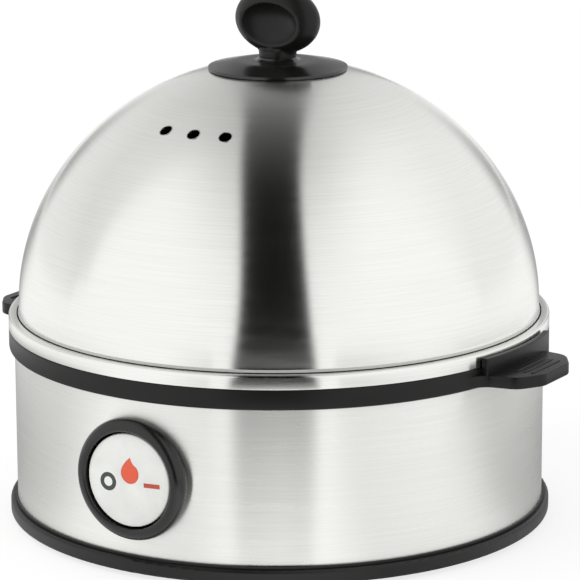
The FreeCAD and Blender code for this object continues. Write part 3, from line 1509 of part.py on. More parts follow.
def make_knob():
    """Black disc on the dome's crown, the grip above it, and the washer and screw inside."""
    disc = new_body("knob_disc")
    lift = s.slip_fit * 2
    middle = (s.disc_radius + s.disc_bore_radius) / 2
    spots = [s.disc_radius, middle, s.disc_bore_radius]
    under = [dome_height_at(radius) + lift for radius in spots]
    mid_top = under[1] + s.disc_edge
    profile = outline(disc, "disc_profile", "XZ_Plane", [
        (spots[2], under[2]),
        (spots[1], under[1]),
        (spots[0], under[0]),
        (spots[0], under[0] + s.disc_edge, s.disc_edge / 3),
        (spots[1], mid_top, s.disc_radius),
        (s.neck_radius, neck_base),
        (spots[2], neck_base),
    ])
    turn(disc, "disc", profile)
    grip = primitive("Ellipsoid", "grip_blank", {
        "Radius1": s.grip_half_height,
        "Radius2": s.grip_half_width,
        "Radius3": s.grip_half_thickness,
        "Angle1": -QUARTER_TURN,
        "Angle2": QUARTER_TURN,
    })
    place(grip, z=grip_centre)
    neck = rod("neck", s.neck_radius, s.neck_height + s.neck_blend, z=neck_base)
    whole = joined("knob_whole", [grip, neck])
    shaft_foot = dome_base + s.dome_height
    spigot = rod("neck_spigot", s.disc_bore_radius - s.slip_fit, neck_base - shaft_foot,
                 z=shaft_foot)
    solid = joined("knob_solid", [whole, spigot])
    tools = []
    for side in (-1, 1):
        dimple = primitive("Ellipsoid", f"dimple_{side + 1}", {
            "Radius1": s.dimple_half_height,
            "Radius2": s.dimple_half_width,
            "Radius3": s.dimple_depth,
            "Angle1": -QUARTER_TURN,
            "Angle2": QUARTER_TURN,
        })
        tools.append(place(dimple, y=side * s.dimple_offset, z=grip_centre - s.dimple_drop))
    washer_top = dome_base + dome_inner_height * root(
        1 - s.washer_radius * s.washer_radius / (dome_inner_radius * dome_inner_radius))
    seat = washer_top - s.washer_thickness
    tools.append(rod("knob_pilot", s.knob_screw_radius + s.running_fit, s.knob_screw_length,
                     z=seat + s.slip_fit))
    keep(cut_from("lid_knob", solid, joined("knob_tools", tools)), "lid_knob")
    washer = new_body("knob_washer")
    profile = block_outline(washer, "washer_profile", "XZ_Plane",
                            s.knob_screw_radius + s.slip_fit, s.washer_radius, seat, washer_top)
    turn(washer, "washer", profile)
    fastener("knob_screw", s.knob_screw_radius, s.knob_screw_length, s.knob_screw_head_radius,
             s.knob_screw_head_height, [(0, 0)], seat)


def check_and_write():
    """Recompute, refuse anything that failed, and write one file per sub-part."""
    doc.recompute()
    for item in doc.Objects:
        if "Invalid" in item.State or "Error" in item.State:
            raise RuntimeError(f"{item.Label} did not recompute: {item.State}")
        if item.TypeId in ("PartDesign::Pocket", "PartDesign::Groove"):
            before = item.BaseFeature.Shape.Volume
            if item.Shape.Volume >= before - before * 1e-9:
                owner = item.getParentGeoFeatureGroup().Label
                raise RuntimeError(f"{item.Label} of {owner} cuts nothing")
    os.makedirs("parts", exist_ok=True)
    for piece in parts:
        shape = piece.Shape
        if shape.isNull() or not shape.isValid():
            raise RuntimeError(f"{piece.Label} has no valid shape")
        shape.exportStep(f"parts/{piece.Label}.step")
    print(f"{len(parts)} sub-parts written")


def main():
    make_bottom_shell()
    make_rubber_feet()
    spots = ring_spots(post_ring_radius, s.post_count, POST_START)
    fastener("bottom_screws", s.screw_radius, s.screw_length, s.screw_head_radius,
             s.screw_head_height, spots, boss_top - s.boss_web)
    make_sleeve()
    make_collar()
    make_bowl()
    make_seal()
    make_heat_plate()
    pins = make_element()
    make_clamp()
    make_nuts()
    make_thermostat()
    make_thermostat_bracket()
    make_fuse()
    make_fuse_clip()
    make_plate_screws()
    make_earth_tab()
    make_terminal_block()
    make_gland()
    make_bezel()
    make_switch()
    make_lamp()
    make_rocker()
    make_leads(pins)
    make_rack_ring()
    make_tray()
    make_dome()
    make_knob()
    check_and_write()


main()
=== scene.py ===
"""Domestic egg cooker, dressed: brushed steel base and lid, black egg rack, rocker control.

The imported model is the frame. Lengths are metres, and MM turns millimetres into them. Z is up from
the table, the control faces -Y and the carrying handles point along X.
"""
import math

import bmesh
import bpy
from bpy.props import FloatProperty, FloatVectorProperty, IntProperty, PointerProperty
from mathutils import Matrix, Vector


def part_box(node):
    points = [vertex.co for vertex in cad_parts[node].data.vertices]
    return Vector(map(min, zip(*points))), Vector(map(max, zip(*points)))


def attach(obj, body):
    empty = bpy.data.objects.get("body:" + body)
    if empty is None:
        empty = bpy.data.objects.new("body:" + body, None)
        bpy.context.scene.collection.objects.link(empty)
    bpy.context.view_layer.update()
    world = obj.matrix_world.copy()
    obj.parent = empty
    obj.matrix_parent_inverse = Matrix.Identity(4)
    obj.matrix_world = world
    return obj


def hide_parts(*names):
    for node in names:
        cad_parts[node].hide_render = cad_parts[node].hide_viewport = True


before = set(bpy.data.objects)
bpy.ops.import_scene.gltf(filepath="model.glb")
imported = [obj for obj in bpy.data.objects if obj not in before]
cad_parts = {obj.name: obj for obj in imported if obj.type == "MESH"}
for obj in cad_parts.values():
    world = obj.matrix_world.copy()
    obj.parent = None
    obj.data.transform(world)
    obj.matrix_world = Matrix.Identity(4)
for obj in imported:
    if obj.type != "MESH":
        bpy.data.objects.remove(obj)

bl_info = {
    "name": "Egg Cooker Dressing",
    "version": (1, 0, 0),
    "blender": (4, 5, 0),
    "location": "3D View > Sidebar > Egg Cooker",
    "description": "Gives the packed egg cooker its fine shapes and finishes",
    "category": "Object",
}

MM = 0.001
QUARTER_TURN = math.pi / 2
HALF_TURN = math.pi
FULL_TURN = 2 * math.pi
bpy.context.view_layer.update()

# Places that the frame gives: lowest and highest corners of the nodes that the new pieces follow.
SLEEVE_LOW, SLEEVE_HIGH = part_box("steel_sleeve")
RACK_LOW, RACK_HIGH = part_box("rack_ring")
LID_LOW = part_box("lid_dome")[0]
DISC_LOW, DISC_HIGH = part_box("knob_disc")
GRIP_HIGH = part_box("lid_knob")[1]
BEZEL_LOW, BEZEL_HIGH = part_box("control_bezel")
CAP_LOW, CAP_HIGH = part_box("rocker_cap")
LENS_LOW, LENS_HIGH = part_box("indicator_lens")
GLAND_LOW, GLAND_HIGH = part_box("cord_gland")
WRAP_RADIUS = -SLEEVE_LOW.y
RACK_RADIUS = -RACK_LOW.y
LID_RADIUS = -LID_LOW.y
CONTROL_HEIGHT = (BEZEL_LOW.z + BEZEL_HIGH.z) / 2


def length(name, description, default):
    """A length property in metres."""
    return FloatProperty(name=name, description=description, default=default, min=0,
                         unit="LENGTH", precision=5)


def angle(name, description, degrees):
    """An angle property, whose default is given in degrees."""
    return FloatProperty(name=name, description=description, default=math.radians(degrees),
                         unit="ROTATION", subtype="ANGLE")


def linear(code):
    """The linear colour of an sRGB hex value."""
    channels = [int(code[at:at + 2], 16) / 255 for at in (1, 3, 5)]
    return tuple(c / 12.92 if c <= 0.04045 else ((c + 0.055) / 1.055) ** 2.4 for c in channels)


def colour(name, description, code):
    """A colour property, whose default is an sRGB hex value."""
    return FloatVectorProperty(name=name, description=description, default=linear(code), size=3,
                               min=0, max=1, subtype="COLOR")


class BaseSizes(bpy.types.PropertyGroup):
    sheet: length("Sheet", "Thickness of the steel wrap", 0.6 * MM)
    seam: angle("Rear seam", "Angle from the rear centre to the wrap's seam", 17.0)
    seam_gap: angle("Seam gap", "Gap between the wrap and the rear sheet", 0.15)
    control_hole: length("Control hole", "Radius of the hole behind the bezel", 18.7 * MM)
    gland_hole: length("Gland hole", "Radius of the hole for the cord's bush", 6.6 * MM)


class LidSizes(bpy.types.PropertyGroup):
    sheet: length("Sheet", "Thickness of the lid's steel", 0.6 * MM)
    skirt_height: length("Skirt height", "Straight height of the skirt", 4.6 * MM)
    skirt_round: length("Shoulder round", "Radius at the top of the skirt", 0.7 * MM)
    hem_round: length("Hem round", "Radius of the skirt's lower edge", 0.22 * MM)
    fold_inset: length("Fold inset", "How far the fold lies inside the skirt", 3.2 * MM)
    fold_rise: length("Fold rise", "Height of the fold above the skirt", 0.1 * MM)
    fold_width: length("Fold width", "Width of the groove in the fold", 0.5 * MM)
    fold_depth: length("Fold depth", "Depth of the groove in the fold", 0.35 * MM)
    dome_inset: length("Dome inset", "How far the dome starts inside the skirt", 3.5 * MM)
    flare_rise: length("Flare rise", "Height from the fold to the dome's wall", 1.0 * MM)
    wall_rise: length("Wall rise", "Upright part of the dome's wall", 1.2 * MM)
    dome_height: length("Dome height", "Height of the dome above its wall", 82.37 * MM)
    crown_hole: length("Crown hole", "Radius of the hole for the knob's screw", 2.4 * MM)
    steam_radius: length("Steam hole", "Radius of a steam hole", 2.25 * MM)
    steam_ring: length("Steam ring", "Distance of the steam holes from the axis", 52.6 * MM)
    steam_step: angle("Steam step", "Angle between two steam holes", 12.45)
    steam_count: IntProperty(name="Steam holes", description="How many steam holes", default=3,
                             min=0)
    rim_wire: length("Steam rim", "Radius of the burnished edge of a steam hole", 0.16 * MM)


class KnobSizes(bpy.types.PropertyGroup):
    disc_edge: length("Disc edge", "Thickness of the disc at its rim", 1.0 * MM)
    disc_bore: length("Disc bore", "Radius of the disc's bore", 4.0 * MM)
    neck_radius: length("Neck", "Radius of the neck", 6.3 * MM)
    neck_height: length("Neck height", "Free height of the neck", 2.7 * MM)
    neck_sink: length("Neck sink", "How far the grip's neck stands in the disc", 1.0 * MM)
    disc_hollow: length("Disc hollow", "Hollow radius where the disc rises to the neck", 3.0 * MM)
    half_thickness: length("Grip half thickness", "Half of the grip's thickness", 8.0 * MM)
    half_height: length("Grip half height", "Half of the grip's height", 11.5 * MM)
    dimple_width: length("Dimple half width", "Half of the thumb dimple's tool", 12.8 * MM)
    dimple_height: length("Dimple half height", "Half of the dimple's tool height", 8.4 * MM)
    dimple_depth: length("Dimple depth", "Half of the dimple's tool thickness", 7.4 * MM)
    dimple_offset: length("Dimple offset", "Tool's distance from the middle", 9.5 * MM)
    dimple_drop: length("Dimple drop", "How far the dimple lies below the middle", 1.2 * MM)
    voxel: length("Blend step", "Grid size that blends the grip with its neck", 0.4 * MM)


class RackSizes(bpy.types.PropertyGroup):
    height: length("Height", "Height of the ring's outer band", 6.3 * MM)
    wall: length("Wall", "Width of the ring's wall", 3.5 * MM)
    edge: length("Edge round", "Radius of the ring's edges", 0.7 * MM)
    apron: length("Apron", "How far the ring's outer edge hangs below its seat", 0.45 * MM)
    apron_gap: length("Apron gap", "Gap between the apron and the wrap", 0.4 * MM)
    flange_width: length("Flange width", "Width of the flange under the tray", 10.0 * MM)
    flange_height: length("Flange height", "Thickness of the flange", 2.0 * MM)
    guide_height: length("Guide height", "Height of the guide inside the lid", 2.2 * MM)
    guide_gap: length("Guide gap", "Gap between the guide and the lid", 0.6 * MM)
    root_half: length("Root half width", "Half width of a handle at the ring", 19.5 * MM)
    corner_half: length("Corner half width", "Half width at the outer corners", 17.4 * MM)
    corner_back: length("Corner setback", "How far the corners lie behind the tip", 5.4 * MM)
    corner_round: length("Corner round", "Radius of the outer corners", 6.5 * MM)
    root_round: length("Root round", "Hollow radius where a handle leaves the ring", 3.0 * MM)
    handle_height: length("Handle thickness", "Thickness of a handle", 4.0 * MM)
    handle_edge: length("Handle edge", "Radius of a handle's edges", 0.55 * MM)
    handle_shift: length("Handle shift", "Handles' offset towards the control", 2.3 * MM)
    ridge_count: IntProperty(name="Ridges", description="Ridges on a handle", default=3, min=0)
    ridge_inset: length("Ridge inset", "From the tip to the first ridge", 10.2 * MM)
    ridge_pitch: length("Ridge pitch", "Distance from ridge to ridge", 2.7 * MM)
    ridge_width: length("Ridge width", "Width of a ridge", 1.2 * MM)
    ridge_height: length("Ridge height", "Height of a ridge", 0.35 * MM)
    ridge_half: length("Ridge half length", "Half of a ridge's length", 10.0 * MM)
    stop_gap: length("Stop gap", "Gap between a stop and the ring's radius", 0.4 * MM)
    stop_width: length("Stop width", "Thickness of a stop", 2.2 * MM)
    stop_half: angle("Stop half angle", "Half of the angle that a stop covers", 13.5)
    stop_edge: length("Stop edge", "Radius of a stop's edges", 0.5 * MM)


class ControlSizes(bpy.types.PropertyGroup):
    mouth: length("Mouth", "Radius of the bezel's mouth", 16.1 * MM)
    mouth_depth: length("Mouth depth", "Depth of the mouth's wall", 5.2 * MM)
    bead_round: length("Bead round", "Outer rounding of the bezel's bead", 3.3 * MM)
    bead_inset: length("Bead inset", "How far the bead stays inside the frame's radius", 0.3 * MM)
    bead_foot: length("Bead foot", "Height over the wrap where the bead turns in", 0.9 * MM)
    foot_round: length("Foot round", "Radius where the bead turns in", 1.5 * MM)
    foot_inset: length("Foot inset", "How far the bead turns in at the wrap", 1.4 * MM)
    mouth_round: length("Mouth round", "Radius of the bead towards the mouth", 1.0 * MM)
    tube: length("Tube", "Outer radius of the tube through the wrap", 18.6 * MM)
    tube_wall: length("Tube wall", "Wall of that tube", 1.7 * MM)
    cap_stand: length("Cap stand", "How far the face stands before the frame's face", 0.5 * MM)
    cap_thickness: length("Cap thickness", "Thickness of the rocker's face", 2.5 * MM)
    cap_edge: length("Cap edge", "Radius of the rocker's edge", 0.5 * MM)
    cap_crown: length("Cap crown", "Height of the face's crown at its middle", 0.25 * MM)
    lens_gap: length("Lens gap", "Gap round the lens", 0.06 * MM)
    lens_grow: length("Lens growth", "How much larger the drop is than the frame's", 0.4 * MM)
    lens_shift: length("Lens shift", "How far the drop lies right of the middle", 0.7 * MM)
    mark_shift: length("Mark shift", "How far the marks' middle lies to the right", 0.7 * MM)
    mark_offset: length("Mark offset", "From the middle to each printed mark", 8.3 * MM)
    mark_drop: length("Mark drop", "How far the marks lie under the middle", 0.9 * MM)
    mark_turn: angle("Mark turn", "Slope of the line through both marks", 2.6)
    ring_radius: length("Off mark", "Outer radius of the off mark", 3.05 * MM)
    mark_stroke: length("Mark stroke", "Width of the marks' lines", 1.45 * MM)
    dash_length: length("On mark", "Length of the on mark", 6.0 * MM)
    print_height: length("Print height", "How far the print stands on the face", 0.04 * MM)


class Finishes(bpy.types.PropertyGroup):
    steel: colour("Brushed steel", "Lid and wrap", "#f6f6f2")
    # The fold's dark tone is painted shade: it stands in for the shade and the dark reflection in
    # the groove at the dome's foot.
    fold: colour("Steel in the fold", "Dark line at the dome's foot", "#2f2f2c")
    band: colour("Dull band", "Dull band at the dome's foot", "#e4e4e0")
    black: colour("Black moulding", "Rack, bezel and bottom", "#121211")
    cap: colour("Rocker", "Pale rocker cap", "#d6d7d3")
    lens: colour("Lens", "Drop-shaped lens", "#d24a24")
    off_mark: colour("Off mark", "Printed ring", "#3a3f3c")
    on_mark: colour("On mark", "Printed line", "#ad4233")


class StageSizes(bpy.types.PropertyGroup):
    azimuth: angle("Camera azimuth", "Camera's direction round the object", 31.1)
    elevation: angle("Camera elevation", "Camera's height above the horizon", 13.55)
    roll: angle("Camera roll", "Turn about the line of sight", -0.22)
    distance: length("Camera distance", "From the target to the camera", 1200 * MM)
    aim_side: length("Aim to the side", "Target's distance to the camera's right", 3.76 * MM)
    aim_height: length("Aim height", "Target's height above the table", 76.23 * MM)
    lens: FloatProperty(name="Lens", description="Focal length in millimetres", default=219.86,
                        min=1)
    floor: length("Floor radius", "Radius of the pale floor", 8000 * MM)
    sky_reach: length("Sky reach", "Distance of the reflected sky", 3000 * MM)
    flag_start: length("Flag start", "Where the dark flag starts on the floor", 245 * MM)
    flag_swing: angle("Flag swing", "From the camera to the dark flag", -1.8)
    flag_edge: angle("Flag edge", "Width of the flag's soft edge", 2.5)
    shade_start: length("Shade start", "Inner radius of the grey floor shade", 94 * MM)
    shade_reach: length("Shade reach", "Where the near floor's shade ends", 280 * MM)
    side_start: length("Side start", "Where the grey on the right side starts", 300 * MM)
    side_reach: length("Side reach", "Where the grey on the right side ends", 400 * MM)
    back_start: length("Back start", "Where the far floor's shade starts", 430 * MM)


# Small tools that every piece uses.

def add(tree, kind, settings=(), links=()):
    """Add a node. Lower-case settings are its properties, and the rest are inputs."""
    made = tree.nodes.new(kind)
    for key, value in dict(settings).items():
        if isinstance(key, str) and key.islower():
            setattr(made, key, value)
        else:
            made.inputs[key].default_value = value
    for key, source in dict(links).items():
        tree.links.new(getattr(source, "outputs", [source])[0], made.inputs[key])
    return made


def show(piece):
    """Put an object in the scene."""
    bpy.context.scene.collection.objects.link(piece)
    return piece


def applied(piece):
    """Turn an object's live modifiers into its own mesh."""
    graph = bpy.context.evaluated_depsgraph_get()
    mesh = bpy.data.meshes.new_from_object(piece.evaluated_get(graph), depsgraph=graph)
    piece.modifiers.clear()
    piece.data = mesh
    return piece


def smooth(piece, degrees=32):
    """Shade smoothly, with sharp edges where faces meet at more than an angle."""
    piece.data.shade_smooth()
    piece.data.set_sharp_from_angle(angle=math.radians(degrees))
    return piece


def outward(piece):
    """Weld doubles, close open ends and point every face outwards."""
    form = bmesh.new()
    form.from_mesh(piece.data)
    bmesh.ops.remove_doubles(form, verts=form.verts, dist=0.0005 * MM)
    open_edges = [edge for edge in form.edges if edge.is_boundary]
    if open_edges:
        bmesh.ops.holes_fill(form, edges=open_edges)
    bmesh.ops.recalc_face_normals(form, faces=form.faces)
    form.to_mesh(piece.data)
    form.free()
    return piece


def softened(corners, steps=6):
    """A closed outline's points, with an arc at each corner that names a radius."""
    points = []
    for index, corner in enumerate(corners):
        here = Vector(corner[:2])
        radius = corner[2] if len(corner) > 2 else 0
        if not radius:
            points.append(here)
            continue
        before = (Vector(corners[index - 1][:2]) - here).normalized()
        after = (Vector(corners[(index + 1) % len(corners)][:2]) - here).normalized()
        half = before.angle(after) / 2
        centre = here + (before + after).normalized() * (radius / math.sin(half))
        start = here + before * (radius / math.tan(half)) - centre
        end = here + after * (radius / math.tan(half)) - centre
        swing = math.atan2(start.x * end.y - start.y * end.x, start.dot(end))
        for step in range(steps + 1):
            turn = Matrix.Rotation(swing * step / steps, 2)
            points.append(centre + turn @ start)
    return points


def new_tree(name, inputs):
    """A geometry tree with named inputs, and its two ends."""
    tree = bpy.data.node_groups.new(name, "GeometryNodeTree")
    tree.interface.new_socket("Geometry", in_out="INPUT", socket_type="NodeSocketGeometry")
    for label, kind in inputs:
        tree.interface.new_socket(label, in_out="INPUT", socket_type=kind)
    tree.interface.new_socket("Geometry", in_out="OUTPUT", socket_type="NodeSocketGeometry")
    return tree, add(tree, "NodeGroupInput").outputs, add(tree, "NodeGroupOutput")


def finish_tree(tree, end, geometry, material):
    """Close a tree: real geometry, with its material."""
    real = add(tree, "GeometryNodeRealizeInstances", links={0: geometry})
    dressed = add(tree, "GeometryNodeSetMaterial", links={"Geometry": real, "Material": material})
    tree.links.new(dressed.outputs[0], end.inputs[0])


def maths(tree, operation, *items):
    """One sum in a tree, of sockets and numbers."""
    made = add(tree, "ShaderNodeMath", {"operation": operation})
    for index, item in enumerate(items):
        if isinstance(item, (int, float)):
            made.inputs[index].default_value = item
        else:
            tree.links.new(getattr(item, "outputs", [item])[0], made.inputs[index])
    return made.outputs[0]


def grown(name, mesh, tree, values):
    """The object that a geometry tree makes of a mesh, as plain mesh."""
    piece = show(bpy.data.objects.new(name, mesh))
    modifier = piece.modifiers.new(name, "NODES")
    modifier.node_group = tree
    for item in tree.interface.items_tree:
        if item.name in values:
            modifier[item.identifier] = values[item.name]
    applied(piece)
    piece.data.materials.clear()
    piece.data.materials.append(values["Material"])
    return piece


def turning_tree():
    """Rolls a grid into a turned body: its rows follow the outline, its columns go round."""
    name = "turned body"
    if name in bpy.data.node_groups:
        return bpy.data.node_groups[name]
    tree, start, end = new_tree(name, [
        ("Steps Around", "NodeSocketInt"),
        ("Start", "NodeSocketFloat"),
        ("Sweep", "NodeSocketFloat"),
        ("Material", "NodeSocketMaterial"),
    ])
    outline, steps, first, sweep, material = start[0], start[1], start[2], start[3], start[4]
    rows = add(tree, "GeometryNodeAttributeDomainSize", links={0: outline}).outputs["Point Count"]
    grid = add(tree, "GeometryNodeMeshGrid", links={
        "Vertices X": maths(tree, "ADD", steps, 1),
        "Vertices Y": rows,
    })
    index = add(tree, "GeometryNodeInputIndex")
    column = maths(tree, "FLOOR", maths(tree, "DIVIDE", index, rows))
    row = maths(tree, "MODULO", index, rows)
    place = add(tree, "GeometryNodeInputPosition")
    run = add(tree, "GeometryNodeInputNamedAttribute", {"data_type": "FLOAT", "Name": "run"})
    spot = add(tree, "GeometryNodeSampleIndex", {"data_type": "FLOAT_VECTOR"},
               {"Geometry": outline, "Value": place, "Index": row})
    reach = add(tree, "GeometryNodeSampleIndex", {"data_type": "FLOAT"},
                {"Geometry": outline, "Value": run, "Index": row})
    parts = add(tree, "ShaderNodeSeparateXYZ", links={0: spot}).outputs
    share = maths(tree, "DIVIDE", column, steps)
    bearing = maths(tree, "ADD", first, maths(tree, "MULTIPLY", sweep, share))
    where = add(tree, "ShaderNodeCombineXYZ", links={
        "X": maths(tree, "MULTIPLY", parts[0], maths(tree, "COSINE", bearing)),
        "Y": maths(tree, "MULTIPLY", parts[0], maths(tree, "SINE", bearing)),
        "Z": parts[2],
    })
    rolled = add(tree, "GeometryNodeSetPosition", links={"Geometry": grid, "Position": where})
    chart = add(tree, "ShaderNodeCombineXYZ", links={"X": share, "Y": reach})
    on_points = add(tree, "GeometryNodeFieldOnDomain",
                    {"data_type": "FLOAT_VECTOR", "domain": "POINT"}, {0: chart})
    mapped = add(tree, "GeometryNodeStoreNamedAttribute",
                 {"data_type": "FLOAT2", "domain": "CORNER", "Name": "UVMap"},
                 {"Geometry": rolled, "Value": on_points})
    closed = add(tree, "GeometryNodeMergeByDistance", {"Distance": 0.0005 * MM},
                 {"Geometry": mapped})
    finish_tree(tree, end, closed, material)
    return tree


def turned(name, outline, material, steps, first=0.0, sweep=FULL_TURN):
    """A turned body of an outline of (radius, height) points, with its chart from the outline."""
    points = [*outline, outline[0]]
    mesh = bpy.data.meshes.new(name)
    mesh.from_pydata([(point[0], 0, point[1]) for point in points], [], [])
    run = mesh.attributes.new("run", "FLOAT", "POINT")
    total = 0
    for index, point in enumerate(points):
        if index:
            total += (Vector(point[:2]) - Vector(points[index - 1][:2])).length
        run.data[index].value = total
    piece = grown(name, mesh, turning_tree(), {
        "Steps Around": steps,
        "Start": first,
        "Sweep": sweep,
        "Material": material,
    })
    return smooth(outward(piece))


def moved(piece, matrix):
    """Place a piece by its mesh, so that its object stays at the origin."""
    piece.data.transform(matrix)
    return piece


def cut(piece, tools):
    """Cut tools out of a piece for good."""
    for tool in tools:
        modifier = piece.modifiers.new("cut", "BOOLEAN")
        modifier.operation = "DIFFERENCE"
        modifier.object = tool
        modifier.solver = "EXACT"
    applied(piece)
    for tool in tools:
        bpy.data.objects.remove(tool)
    return piece


def rod(name, radius, height, matrix, steps=64):
    """A closed rod along its own Z, centred, then placed."""
    form = bmesh.new()
    bmesh.ops.create_cone(form, cap_ends=True, segments=steps, radius1=radius, radius2=radius,
                          depth=height)
    mesh = bpy.data.meshes.new(name)
    form.to_mesh(mesh)
    form.free()
    return moved(show(bpy.data.objects.new(name, mesh)), matrix)


def prism(name, points, height, material, edge, steps=4):
    """A plate of an outline in the XY plane, raised and rounded at its edges."""
    form = bmesh.new()
    foot = form.faces.new([form.verts.new((x, y, 0)) for x, y in points])
    risen = bmesh.ops.extrude_face_region(form, geom=[foot])["geom"]
    corners = [item for item in risen if isinstance(item, bmesh.types.BMVert)]
    bmesh.ops.translate(form, verts=corners, vec=(0, 0, height))
    bmesh.ops.recalc_face_normals(form, faces=form.faces)
    mesh = bpy.data.meshes.new(name)
    form.to_mesh(mesh)
    form.free()
    mesh.materials.append(material)
    piece = show(bpy.data.objects.new(name, mesh))
    if edge:
        bevel = piece.modifiers.new("edge", "BEVEL")
        bevel.width = edge
        bevel.segments = steps
        bevel.limit_method = "ANGLE"
        bevel.angle_limit = math.radians(50)
        applied(piece)
    return smooth(piece, 40)


def settle(piece, body, slot, *nodes):
    """Say which body a piece moves with and which nodes it stands for. The slot is not used."""
    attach(piece, body)
    if nodes:
        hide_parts(*nodes)


def true_normals(piece, rule):
    """Set the exact normal of a formula on the faces that follow it."""
    mesh = piece.data
    # A face follows the formula when the cosine between both normals is above this.
    likeness = 0.97
    normals = [(0, 0, 0)] * len(mesh.loops)
    for face in mesh.polygons:
        for loop in face.loop_indices:
            spot = mesh.vertices[mesh.loops[loop].vertex_index].co
            exact = rule(spot)
            if exact is None:
                continue
            facing = exact.dot(face.normal)
            if abs(facing) > likeness:
                normals[loop] = exact if facing > 0 else -exact
    mesh.normals_split_custom_set(normals)


# Finishes. Each starts from the real material and how its surface was made.

def new_finish(name, settings):
    """A new material of one principled shader, with its tree and its shader."""
    material = bpy.data.materials.new(name)
    material.use_nodes = True
    tree = material.node_tree
    tree.nodes.clear()
    shader = add(tree, "ShaderNodeBsdfPrincipled", settings)
    add(tree, "ShaderNodeOutputMaterial", links={"Surface": shader})
    return material, tree, shader


def rgba(value):
    """A colour with full cover."""
    return (*value, 1.0)


def grain(tree, size, detail=2.0):
    """Noise on object coordinates whose features are about a real size."""
    place = add(tree, "ShaderNodeTexCoord").outputs["Object"]
    scaled = add(tree, "ShaderNodeMapping", {"Scale": [1 / size] * 3},
                 {"Vector": place})
    return add(tree, "ShaderNodeTexNoise", {"Scale": 1.0, "Detail": detail},
               {"Vector": scaled}).outputs["Fac"]


def spread(tree, factor, low, high):
    """Turn a noise factor into a value between two limits."""
    return add(tree, "ShaderNodeMapRange", {
        "From Min": 0.3, "From Max": 0.7, "To Min": low, "To Max": high,
    }, {"Value": factor}).outputs[0]


def relief(tree, shader, factor, strength, depth):
    """Bump from a factor, as deep as a real size."""
    bump = add(tree, "ShaderNodeBump", {"Strength": strength, "Distance": depth},
               {"Height": factor})
    tree.links.new(bump.outputs[0], shader.inputs["Normal"])


def tinted(tree, shader, factor, low, high):
    """Colour between two tones along a factor."""
    ramp = add(tree, "ShaderNodeValToRGB", links={0: factor})
    for stop, tone, place in zip(ramp.color_ramp.elements, (low, high), (0.3, 0.7)):
        stop.color = rgba(tone)
        stop.position = place
    tree.links.new(ramp.outputs[0], shader.inputs["Base Color"])


def shade(tone, share):
    """A darker or lighter tone of a linear colour."""
    return tuple(min(1.0, channel * share) for channel in tone)


def brushed_steel(name, tone, roughness, direction):
    """18/10 stainless sheet, brushed round the axis: streaks round, highlights drawn upright."""
    material, tree, shader = new_finish(name, {
        "Metallic": 1.0,
        "Anisotropic": direction,
        "Anisotropic Rotation": 0.25,
    })
    place = add(tree, "ShaderNodeTexCoord").outputs["Object"]
    across = add(tree, "ShaderNodeUVMap", {"uv_map": "UVMap"})
    flat = add(tree, "ShaderNodeSeparateXYZ", links={0: place}).outputs
    run = add(tree, "ShaderNodeSeparateXYZ", links={0: across}).outputs[1]
    # A streak is about 30 mm long. The real ones are 0.1 mm apart and are drawn at 0.35 mm.
    streak_length = 30 * MM
    factors = []
    fine_spacing, broad_spacing = 0.35 * MM, 2.2 * MM
    for spacing in (fine_spacing, broad_spacing):
        vector = add(tree, "ShaderNodeCombineXYZ", links={
            "X": maths(tree, "DIVIDE", flat[0], streak_length),
            "Y": maths(tree, "DIVIDE", flat[1], streak_length),
            "Z": maths(tree, "DIVIDE", run, spacing),
        })
        noise = add(tree, "ShaderNodeTexNoise", {"Scale": 1.0, "Detail": 2.0},
                    {"Vector": vector})
        factors.append(noise.outputs["Fac"])
    fine, broad = factors
    tinted(tree, shader, fine, shade(tone, 0.965), shade(tone, 1.02))
    tree.links.new(spread(tree, broad, roughness - 0.01, roughness + 0.015),
                   shader.inputs["Roughness"])
    relief(tree, shader, fine, 0.05, 0.01 * MM)
    tangent = add(tree, "ShaderNodeTangent", {"direction_type": "UV_MAP", "uv_map": "UVMap"})
    tree.links.new(tangent.outputs[0], shader.inputs["Tangent"])
    return material


def moulded(name, tone, roughness=0.38, texture=0.3, ior=1.5, gloss=0.5):
    """Injection moulding with a fine spark-eroded grain: even, satin, barely mottled."""
    material, tree, shader = new_finish(name, {"IOR": ior, "Specular IOR Level": gloss})
    fine = grain(tree, texture * MM)
    tinted(tree, shader, grain(tree, 9 * MM), shade(tone, 0.94), shade(tone, 1.06))
    tree.links.new(spread(tree, fine, roughness - 0.04, roughness + 0.05),
                   shader.inputs["Roughness"])
    relief(tree, shader, fine, 0.15, 0.02 * MM)
    return material


def bare_metal(name, tone, roughness, texture, depth):
    """Bare or plated metal whose surface is a little uneven."""
    material, tree, shader = new_finish(name, {"Metallic": 1.0})
    fine = grain(tree, texture * MM, 3.0)
    tinted(tree, shader, fine, shade(tone, 0.9), shade(tone, 1.05))
    tree.links.new(spread(tree, fine, roughness - 0.05, roughness + 0.08),
                   shader.inputs["Roughness"])
    relief(tree, shader, fine, 0.3, depth * MM)
    return material


def soft_polymer(name, tone, roughness, texture):
    """Rubber, silicone or soft insulation: matt, with a slight bloom."""
    material, tree, shader = new_finish(name, {
        "IOR": 1.45,
        "Sheen Weight": 0.12,
        "Sheen Roughness": 0.5,
    })
    tinted(tree, shader, grain(tree, 3 * MM), shade(tone, 0.9), shade(tone, 1.1))
    tree.links.new(spread(tree, grain(tree, texture * MM), roughness - 0.05, roughness + 0.08),
                   shader.inputs["Roughness"])
    relief(tree, shader, grain(tree, texture * MM), 0.2, 0.03 * MM)
    return material


